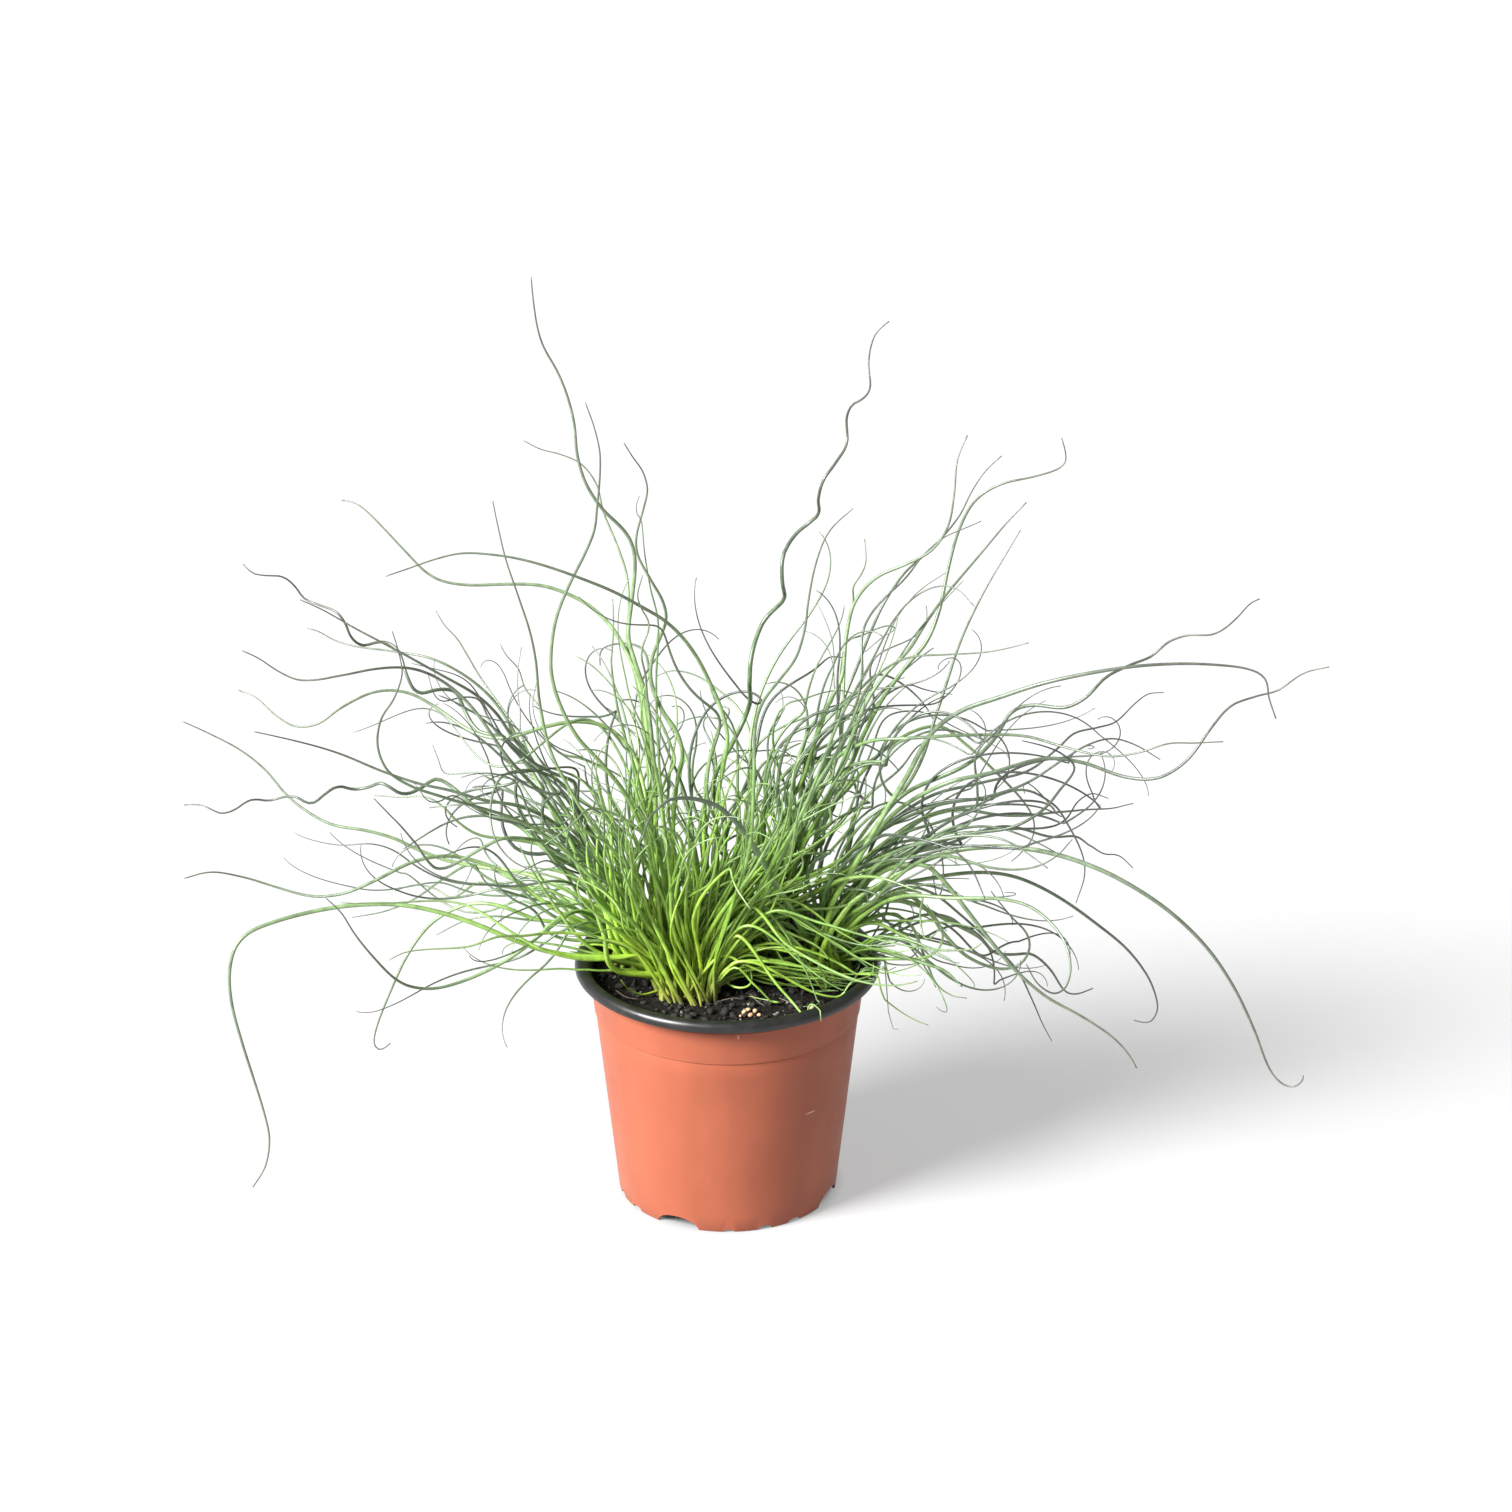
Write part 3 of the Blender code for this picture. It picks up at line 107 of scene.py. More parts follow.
# Long stems. Each has its clump, how far its tip lies behind (+) or in front of (-) the pot's axis,
# its thickness at the base, and the depth and length of one turn of its curl, all in mm. Its points
# are (x, z) in mm on the upright plane through the pot's axis, as seen from EYE, from base to tip.
STEMS = {
    "stem_tall_left": ("front", 15, 2.0, 4, 90, (
        (-25, 105), (-27, 130), (-28, 160), (-29, 190), (-31, 212), (-35, 226), (-37.5, 236),
        (-36, 250), (-34.8, 262), (-35.5, 271), (-39, 279), (-47, 289), (-53, 300), (-56, 311),
        (-57, 322), (-59.5, 332), (-63, 341), (-68, 351), (-70.3, 360), (-71.5, 372), (-72, 381))),
    "stem_tall_left_bow": ("front", -45, 1.8, 4, 120, (
        (-26, 110), (-30, 140), (-38, 166), (-48, 183), (-57, 194.5), (-63, 206), (-66.8, 218),
        (-67.2, 229), (-65, 242), (-60, 255), (-54, 268), (-50, 279), (-48.7, 290), (-47.6, 301),
        (-47.4, 312), (-49.5, 322), (-52.7, 331))),
    "stem_tall_left_thin": ("front", 50, 1.5, 4, 110, (
        (-24, 104), (-26, 135), (-30, 165), (-32, 195), (-35, 218), (-38.3, 233), (-37.3, 250),
        (-38, 262), (-42, 274), (-46.5, 285), (-49, 296), (-54.5, 304.5), (-62, 309), (-70, 312),
        (-76.5, 316.3))),
    "stem_upright_left": ("front", -20, 1.8, 4, 70, (
        (-22, 104), (-22, 130), (-21, 155), (-19, 176), (-17, 188), (-19.5, 198), (-25, 206),
        (-29, 216), (-28.5, 225), (-25.3, 234), (-23, 243), (-24.5, 252), (-29, 261), (-33.7, 270),
        (-34, 277), (-31.5, 286), (-29.8, 294), (-31.5, 302), (-35, 308.5), (-38.3, 315.3))),
    "stem_upright_hooked": ("front", -60, 1.5, 3, 40, (
        (-20, 108), (-22, 135), (-25, 160), (-28, 185), (-30.5, 208), (-31, 220), (-32.5, 230),
        (-29.5, 239), (-32.5, 246), (-33.8, 253), (-31.8, 262))),
    "stem_arch_left_high": ("front", 45, 2.0, 5, 130, (
        (-27, 106), (-28, 135), (-29, 165), (-30, 195), (-32.5, 215), (-37, 227), (-43, 237.5),
        (-52, 246), (-62, 252), (-72, 255.7), (-84, 257.2), (-97, 258), (-107, 260), (-114, 264),
        (-121, 271.5), (-130, 281), (-137, 287.6), (-141.5, 290), (-145.5, 290.3))),
    "stem_arch_left_long": ("middle", -75, 1.8, 5, 140, (
        (-2, 118), (-4, 150), (-3.5, 170), (-1, 184), (0.3, 194), (-2, 204), (-6, 213.5),
        (-11, 224), (-17, 233.5), (-24, 241.5), (-33, 248.5), (-43, 255.5), (-54, 261),
        (-66, 265.5), (-78, 268.3), (-90, 269.2), (-101, 268.6), (-111, 265.5), (-121, 261.5),
        (-130, 258.3))),
    "stem_corkscrew_tall": ("middle", 25, 2.1, 6, 44, (
        (-3, 120), (-5, 140), (-4.5, 160), (-5.3, 174), (-3.5, 183), (1.5, 190), (6.5, 198),
        (9, 207), (8.8, 218), (9.6, 229), (13.5, 238.5), (19.8, 246.5), (22.2, 252), (21.2, 261),
        (21.5, 269.5), (25.5, 275.3), (31.5, 279.8), (35.1, 284.5), (34.8, 293), (36.6, 301.5),
        (41.5, 307.3), (45.6, 312.7), (45.4, 322), (47.2, 329.3), (51, 333.3), (54, 338.5),
        (53.3, 347), (55.6, 355.2), (61, 360.8))),
    "stem_upright_centre": ("front", -90, 1.6, 5, 110, (
        (-4, 100), (3, 125), (9, 150), (10.5, 175), (11, 195), (14, 207), (20, 217.5),
        (26.5, 228.5), (30, 241), (31.2, 251), (34, 264.5), (39, 276.5), (48, 286))),
    "stem_corkscrew_left_high": ("left", 30, 1.9, 5, 42, (
        (-40, 118), (-50, 135), (-60, 150), (-70, 168), (-79, 182), (-83, 191), (-88, 196),
        (-96, 197.2), (-101, 203), (-104.5, 210.5), (-111, 213.3), (-118.5, 214), (-122.5, 221),
        (-126, 229), (-132, 231.3), (-139.5, 230.7), (-143.3, 236), (-145.2, 243), (-149, 247.3),
        (-156, 248), (-161.5, 249.4), (-165, 255), (-169, 260.3), (-175, 262.3), (-180, 263.6),
        (-183.3, 266.5))),
    "stem_left_straight": ("left", -25, 1.7, 4, 100, (
        (-38, 120), (-47, 138), (-58, 156), (-70, 175), (-82, 190), (-89, 202), (-97, 211.5),
        (-108, 220), (-120, 227.8), (-131, 233.5), (-143, 239), (-155, 245.3), (-163, 249))),
    "stem_left_bowed": ("left", 80, 1.6, 5, 90, (
        (-42, 116), (-55, 140), (-66, 160), (-76, 180), (-85, 199), (-93, 212), (-103, 222.5),
        (-114, 228.8), (-127, 230.2), (-141, 230), (-150, 231.8), (-156, 235.5), (-160.5, 237.3))),
    "stem_left_wavy_upper": ("left", -60, 1.7, 6, 80, (
        (-44, 118), (-58, 142), (-71, 166), (-84, 187), (-95, 202), (-107, 212.5), (-121, 221),
        (-134, 223.6), (-147, 222), (-157, 219.2), (-165, 217.8), (-173, 220), (-180, 224),
        (-186, 227))),
    "stem_left_wavy_lower": ("front", 10, 1.9, 7, 85, (
        (-30, 112), (-29, 140), (-31, 165), (-36, 183), (-46, 194.5), (-58, 199.5), (-70, 199.8),
        (-80, 197.5), (-90, 195.7), (-100, 197.3), (-112, 203.5), (-124, 209.5), (-136, 211.2),
        (-148, 207.5), (-157, 202), (-166, 200.7), (-174, 204.3), (-181, 209.3), (-188, 211))),
    "stem_left_sloping": ("left", 70, 1.7, 5, 110, (
        (-40, 112), (-52, 122), (-66, 130), (-80, 135), (-95, 135.7), (-108, 138.5), (-119, 144),
        (-130, 151.5), (-141, 156), (-153, 158.5), (-163, 163.5), (-171, 169.5), (-179, 178.5),
        (-188, 185.7), (-199, 192.5), (-210, 199.5))),
    "stem_left_reaching": ("left", -45, 1.6, 5, 120, (
        (-42, 120), (-54, 140), (-66, 155), (-80, 165), (-95, 169.3), (-107, 173), (-120, 175),
        (-135, 178.7), (-150, 184.3), (-166, 190), (-182, 196))),
    "stem_corkscrew_left": ("left", -15, 1.8, 4, 36, (
        (-38, 112), (-50, 128), (-64, 142), (-78, 152), (-90, 160), (-100, 167.5), (-106, 171),
        (-113, 174), (-119, 171.3), (-125, 170.7), (-130, 173.7), (-134, 175), (-139, 171.3),
        (-145, 169.5), (-151, 172), (-156, 170), (-161, 167), (-167, 169), (-172, 167.3),
        (-178, 164.7), (-185, 166.3), (-191, 163.8), (-196, 163), (-203, 164.8), (-211, 163))),
    "stem_left_zigzag": ("left", -75, 1.8, 4, 70, (
        (-36, 115), (-46, 130), (-60, 142), (-74, 150), (-86, 152.5), (-95, 147.5), (-104, 140),
        (-110, 136), (-114.5, 136), (-118, 141), (-121, 148.5), (-126, 157), (-132, 163),
        (-137, 167.2))),
    "stem_left_arched": ("left", 30, 1.6, 4, 80, (
        (-44, 120), (-56, 135), (-70, 145), (-84, 149.5), (-96, 153), (-104, 159), (-110, 165.5),
        (-117, 168.8), (-127, 167.2), (-137, 167))),
    "stem_left_low_wave": ("left", -30, 1.8, 6, 95, (
        (-38, 106), (-50, 112), (-62, 118), (-74, 125.5), (-86, 133), (-98, 137.8), (-110, 141.3),
        (-123, 140.8), (-137, 135), (-150, 129), (-163, 126), (-177, 127.5), (-190, 131),
        (-202, 134.3), (-212, 133.3))),
    "stem_left_drooping": ("front", -60, 2.0, 4, 150, (
        (-34, 98), (-46, 99), (-60, 100.5), (-72, 103.5), (-84, 108.5), (-98, 114.3), (-112, 118.3),
        (-128, 120.5), (-145, 119.8), (-162, 117.3), (-178, 113.5), (-188, 109.5), (-193.5, 103),
        (-195.8, 92), (-195, 79), (-192, 64), (-188, 46), (-184.8, 30), (-183.3, 17), (-185.5, 4),
        (-191, -6))),
    "stem_left_hanging_loop": ("left", -50, 1.7, 3, 100, (
        (-38, 110), (-50, 118), (-61, 119.5), (-69, 114.5), (-77, 106), (-88, 96.5), (-101, 88.5),
        (-114, 84.2), (-124, 85.3), (-131, 90), (-139, 100.5), (-146, 110.5), (-151, 118.7),
        (-157, 124.3))),
    "stem_left_hooked": ("left", 15, 1.7, 4, 90, (
        (-40, 110), (-52, 114), (-64, 115), (-75, 117), (-86, 121.3), (-96, 122.3), (-106, 119),
        (-117, 111), (-126, 99), (-133, 84.5), (-138, 71.5), (-139.8, 62.5), (-137.5, 58.4),
        (-133.5, 61))),
    "stem_left_low_thin": ("front", -75, 1.4, 4, 70, (
        (-36, 102), (-50, 107), (-64, 108), (-79, 108.5), (-90, 109.7), (-102, 105), (-117, 101.3),
        (-127, 99), (-133.5, 96))),
    "stem_left_thin_hook": ("left", 55, 1.5, 4, 70, (
        (-46, 116), (-60, 123), (-74, 128), (-86, 129.5), (-97, 133), (-103, 129), (-108, 125.8),
        (-114, 128.7), (-122, 129), (-130, 126))),
    "stem_left_ring": ("left", -55, 1.6, 4, 80, (
        (-44, 128), (-52, 150), (-60, 168), (-70, 176), (-79, 178.5), (-87, 177), (-90.8, 170),
        (-91.6, 160), (-89.5, 150.5), (-84, 141.5), (-77, 136), (-70, 133))),
    "stem_thin_upright_left": ("front", -95, 1.5, 5, 100, (
        (-30, 115), (-44, 145), (-58, 168), (-68, 186), (-72, 205), (-73, 226), (-75, 240),
        (-79, 253), (-84, 267), (-87, 280), (-88.5, 289))),
    "stem_thin_wiggly_left": ("back", 95, 1.4, 4, 50, (
        (-18, 125), (-30, 150), (-42, 172), (-55, 183.5), (-64, 188), (-70.5, 196), (-72, 205),
        (-77.5, 212), (-80, 221.5), (-84, 228), (-86.5, 234))),
    "stem_thin_bow_left": ("front", -105, 1.5, 4, 90, (
        (-34, 110), (-52, 134), (-74, 152), (-94, 163), (-110, 170), (-122, 174), (-131, 179),
        (-135, 188), (-133.5, 199), (-128, 209), (-124.3, 221), (-125.3, 231), (-127.5, 239))),
    "stem_back_left": ("back", 120, 1.5, 5, 90, (
        (-24, 128), (-44, 154), (-64, 176), (-78, 193), (-88, 206), (-95, 217), (-99.5, 227),
        (-103, 235), (-107.5, 241.5), (-110.5, 248))),
    "stem_back_arch": ("back", 125, 1.5, 5, 90, (
        (0, 125), (6, 150), (9, 180), (8.5, 197), (4, 208), (-3, 215), (-11, 219.7), (-20, 220.3),
        (-27, 217))),
    "stem_wavy_centre_right": ("middle", 70, 1.7, 5, 60, (
        (12, 125), (24, 150), (36, 168), (42.5, 182), (44.5, 200), (45, 218), (46, 236),
        (48.5, 248), (48.3, 256), (51.5, 263), (53, 268.5), (52.4, 277))),
    "stem_tall_right": ("middle", 20, 2.0, 5, 90, (
        (6, 122), (18, 148), (29, 172), (34, 192), (39, 209), (44.3, 220), (45.8, 234),
        (49, 247.5), (57, 258), (68, 265), (78, 272.5), (84, 283), (86.2, 296), (87.2, 307),
        (91, 316))),
    "stem_tall_right_thin": ("back", 120, 1.6, 5, 100, (
        (8, 130), (24, 157), (37, 182), (44, 204), (50, 221), (55, 237.5), (60.5, 252),
        (68, 263.7), (79, 273), (88, 283), (93, 293), (98, 301.5), (104, 308.5))),
    "stem_arc_right_front": ("front", -110, 1.5, 4, 90, (
        (-2, 100), (14, 130), (32, 170), (46, 205), (55, 226), (63, 241.5), (71, 250), (80, 254.3),
        (88, 253.5), (94.5, 247.3))),
    "stem_tall_right_hook": ("middle", 50, 2.0, 5, 110, (
        (24, 125), (36, 152), (46, 174), (53, 194), (60, 211), (69, 225.5), (76.5, 235),
        (81.3, 247), (84.5, 262), (88.5, 277.5), (94.5, 290), (104, 297.7), (116, 302),
        (125.5, 306), (127.8, 310.5), (126, 318))),
    "stem_right_upright": ("middle", -35, 1.9, 5, 110, (
        (20, 122), (32, 150), (43, 180), (52, 205), (60, 217.5), (70, 228), (77, 240.5),
        (85, 254.5), (95, 269.5), (105, 282.5), (113.5, 291))),
    "stem_right_slanting": ("right", 85, 1.7, 5, 110, (
        (38, 120), (48, 142), (58, 158), (68, 170), (75, 185), (80, 203), (85, 219), (90, 233.5),
        (97.5, 250), (105, 265.5), (111.5, 279.5))),
    "stem_right_level_thin": ("front", -95, 1.5, 4, 100, (
        (4, 102), (20, 138), (34, 172), (46, 196), (55, 214.5), (68, 224.5), (84, 228),
        (100, 230.7), (115.5, 234.3))),
    "stem_arch_right": ("right", -35, 2.2, 5, 150, (
        (40, 118), (50, 140), (60, 158), (70, 175), (79, 193), (90, 203.5), (104, 210.5),
        (120, 217.5), (137, 222), (155, 224.2), (172, 224), (188, 222.3), (201, 219.8),
        (207.5, 215.5), (209, 208), (212, 199.5))),
    "stem_wavy_right_high": ("right", 45, 1.9, 6, 60, (
        (40, 124), (52, 146), (66, 164), (82, 178), (96, 186.5), (104, 193), (110, 201.5),
        (118, 205), (129, 206.7), (137, 212), (145, 219.7), (154, 222.3), (163, 224.7), (170, 232),
        (177, 236.6), (186, 238.8), (194, 244.5), (199.5, 249.2), (203.5, 250.2))),
    "stem_wavy_right": ("right", -5, 1.9, 7, 90, (
        (42, 120), (56, 145), (70, 165), (86, 177.5), (104, 180.7), (122, 182.3), (138, 179.7),
        (153, 176.2), (166, 178), (177, 186.5), (186, 198), (194, 205.5), (204, 208),
        (213, 210.3), (222, 218.5), (231, 223))),
    "stem_right_level": ("middle", -55, 1.7, 5, 90, (
        (18, 125), (28, 155), (40, 180), (54, 192), (68, 195), (84, 195.2), (100, 193.3),
        (116, 191.5), (130, 188.3), (146, 186.7), (158, 189), (170, 192.3), (181, 191),
        (192, 190))),
    "stem_right_bent_down": ("middle", 90, 1.7, 5, 80, (
        (20, 130), (40, 165), (60, 188), (80, 196), (92, 190), (104, 180.5), (113, 170),
        (119, 158), (119.3, 149), (115, 143), (111, 140))),
    "stem_right_waving": ("right", 75, 1.7, 5, 80, (
        (44, 122), (66, 150), (86, 160), (106, 161.5), (124, 163), (136, 162), (149, 161),
        (158, 163.7))),
    "stem_right_stepped": ("right", 120, 1.6, 5, 70, (
        (42, 118), (60, 137), (82, 149), (104, 153.3), (124, 152.2), (135, 153.5), (141, 148),
        (147, 142), (153, 141), (158.5, 137))),
    "stem_right_cupped": ("right", -70, 1.7, 5, 90, (
        (38, 108), (50, 124), (66, 135), (84, 141), (102, 139), (118, 140), (128, 143.5),
        (134.5, 149))),
    "stem_right_drooping": ("right", -55, 2.2, 4, 160, (
        (38, 106), (46, 119), (58, 129), (74, 138), (90, 144.5), (108, 147.2), (126, 145.6),
        (144, 139.5), (160, 130), (175, 117.5), (189, 101.5), (200, 84), (208.5, 66),
        (214.5, 50.5), (219.5, 43.5), (224.5, 41.7), (228, 44), (228.5, 47.5))),
    "stem_right_low_loop": ("right", 45, 1.7, 5, 110, (
        (38, 112), (48, 123), (62, 131), (78, 135), (94, 135.7), (110, 132.7), (126, 125.5),
        (142, 116), (156, 105.5), (165, 93), (169.5, 80), (169.5, 72.5), (166.5, 68.3),
        (161, 69))),
    "stem_right_dark_straight": ("right", -35, 2.1, 3, 140, (
        (38, 108), (50, 124), (64, 136), (76, 140), (84, 134), (94, 120.5), (104, 106),
        (114, 92.5), (126, 80.5), (140, 71.5), (152, 63), (159, 55.5), (162.5, 49.5))),
    "stem_right_curled_under": ("right", 5, 1.8, 3, 80, (
        (42, 106), (56, 120), (68, 127), (78, 121), (86, 109), (95, 98.5), (106, 92.7),
        (114.5, 94), (118.7, 101), (117.5, 109.5), (111, 118), (103, 129))),
    "stem_right_curled_low": ("right", -75, 1.7, 4, 90, (
        (40, 104), (54, 118), (70, 127), (88, 126.3), (106, 123.7), (120, 118.3), (131, 107.5),
        (135, 96.5), (133.5, 87.5), (128.5, 84.8), (122, 89.5), (117.5, 97))),
    "stem_right_pale": ("right", 80, 1.9, 4, 80, (
        (42, 110), (54, 120), (70, 123), (86, 117), (98, 108.5), (105, 99.5), (112, 98.3),
        (120, 99.3), (127, 94.5), (132.5, 86.5), (137, 84.4), (144, 86))),
}

# Short stems of a clump
SPROUT_GRID = 3
SPROUT_THICKNESS = 1.7
SPROUT_TIP_SHARE = 0.4
SPROUT_CURL = 3.0
SPROUT_TURN_LENGTH = 60.0
CROWN_SIDE_HEIGHT = 2.5 * MM
CROWN_DOME_HEIGHT = 3.0 * MM
CROWN_TOP = SOIL_LEVEL + SOIL_RIPPLE + CROWN_SIDE_HEIGHT + CROWN_DOME_HEIGHT
SPROUT_TOLERANCE = 2.0 * MM

# How fine the built pieces are
FINE_STEP = 2.0 * MM
FINE_SIDES = 7
TUFT_SIDES = 5
POT_SIDES = 128
POT_STEP = 6.0 * MM
POT_SHARP_ANGLE = math.radians(38.0)
SOIL_SIDES = 132
SOIL_RINGS = 46
CAP_RADIUS = 5.0 * MM

# Chance: its seed, and the range of a turn in radians
SEED = 20
ANY_TURN = (0.0, 6.28)

# Tip of a long stem against its foot. Foot of a stem: how far it goes down into the soil, how long a
# stretch may pass low over the soil and the rim, and how much thicker it is and for how long.
LONG_STEM_TIP_SHARE = 0.8 * TIP_SHARE
ROOT_DEPTH = 4.0 * MM
FOOT_STRETCH = 8.0 * MM
FOOT_SWELL = 0.22
FOOT_SWELL_LENGTH = 14.0 * MM

# Colour of a stem: it turns from lime to grey-green over LONGEST_STEM, faster in some clumps than in
# others. The long and the small stems take a share of their clump's speed.
# The paler grey-green that the stems turn to is partly a painted silvery sheen.
LONGEST_STEM = 360.0 * MM
RIPENING = {"front": 1.1, "left": 2.3, "back": 2.2, "middle": 1.5, "right": 2.5}
LONG_STEM_RIPENING = 0.65
SMALL_STEM_RIPENING = 0.8
LONG_STEM_SHADES = (0.15, 0.85)
SMALL_STEM_AGES = (0.0, 0.6)

# Roots of the small stems: how far out in the crown they stand, against its radius
SMALL_STEM_RING = 0.7

# Companions: one thinner stem beside each long one, apart from those that stand alone. Ranges of where it
# ends on the long one's way, its gap at the foot and its drift towards the tip in mm, the depth and
# length of its waves in mm, its thickness against the long one's, and the age of its tip.
LONE_STEMS = ("stem_corkscrew_tall", "stem_tall_left")
LONE_CLUMPS = ("right",)
COMPANION_END = (0.38, 0.86)
COMPANION_GAP = (1.4, 2.6)
COMPANION_DRIFT = (5.0, 24.0)
COMPANION_WAVE = (1.5, 6.0)
COMPANION_WAVE_LENGTH = (38.0, 95.0)
COMPANION_WIDTH = (0.62, 0.88)
COMPANION_AGES = (0.3, 1.0)
COMPANION_TIP_SHARE = 0.22
COMPANION_ROOT_SPREAD = 1.6
COMPANION_ROOT_LENGTH = 16.0 * MM

# Short stems of the crowns, as they look
SPROUT_FOOT_RADIUS = 0.8 * MM
SPROUT_FINE_TIP_SHARE = 0.3
SPROUT_AGE = 0.4

# Short stems of the swathes: how many spreads one may stray across and in depth, ranges of the depth and
# length of its waves (against its curl, and in mm), of the length of its hook in mm, of the hook's turn
# against its swathe's and of the hook's rise, of the age of its tip and of its ripening against its clump's
SHORT_STRAY = 1.9
SHORT_DEPTH_STRAY = 1.6
SHORT_WAVE = (0.5, 1.3)
SHORT_WAVE_LENGTH = (38.0, 80.0)
SHORT_AGES = (0.0, 0.5)
SHORT_RIPENING = (0.75, 1.3)
SHORT_TIP_SHARE = 0.25
HOOK_LENGTH = (18.0, 50.0)
HOOK_TURN = (0.2, 1.5)
HOOK_RISE = (-0.25, 0.25)
WAVE_SWELL_LENGTH = 60.0 * MM

# Pot: height of the fine line under its lip, its two scuffs (place about the pot's axis and half sizes
# in mm) and its colours
COLLAR_LINE = 92.6 * MM
SCUFFS = (((32.4, -36.2, 49.3), (3.2, 3.4, 0.40)), ((4.5, -52.5, 91.0), (0.6, 2.0, 1.3)))
SCUFF_COLOUR = (0.62, 0.34, 0.26)
TERRACOTTA = (0.300, 0.080, 0.041)
BLACK_PLASTIC = (0.011, 0.011, 0.011)

# Camera: how far it stands back, how far down it looks, and what it looks at
CAMERA_DISTANCE = 2.0
CAMERA_PITCH = math.radians(23.9)
CAMERA_TARGET = Vector((11.3, 0.0, 185.5)) * MM
CAMERA_REACH = 100.0
SENSOR_MM = 36.0
LENS_MM = 123.24

# Light
WORLD_STRENGTH = 0.45
KEY_STRENGTH = 11.0
KEY_SOFTNESS = math.radians(24.0)
KEY_TRAVEL = (0.685, 0.445, -0.58)
FLOOR_SIZE = 60.0
FLOOR_LEVEL = -0.2 * MM
FLOOR_COLOUR = (0.26, 0.26, 0.26)
FLOOR_GLOW = 0.42
# Glow of the floor under the pot's foot, kept low as a painted contact shadow
FLOOR_GLOW_IN_PAINTED_SHADOW = 0.03

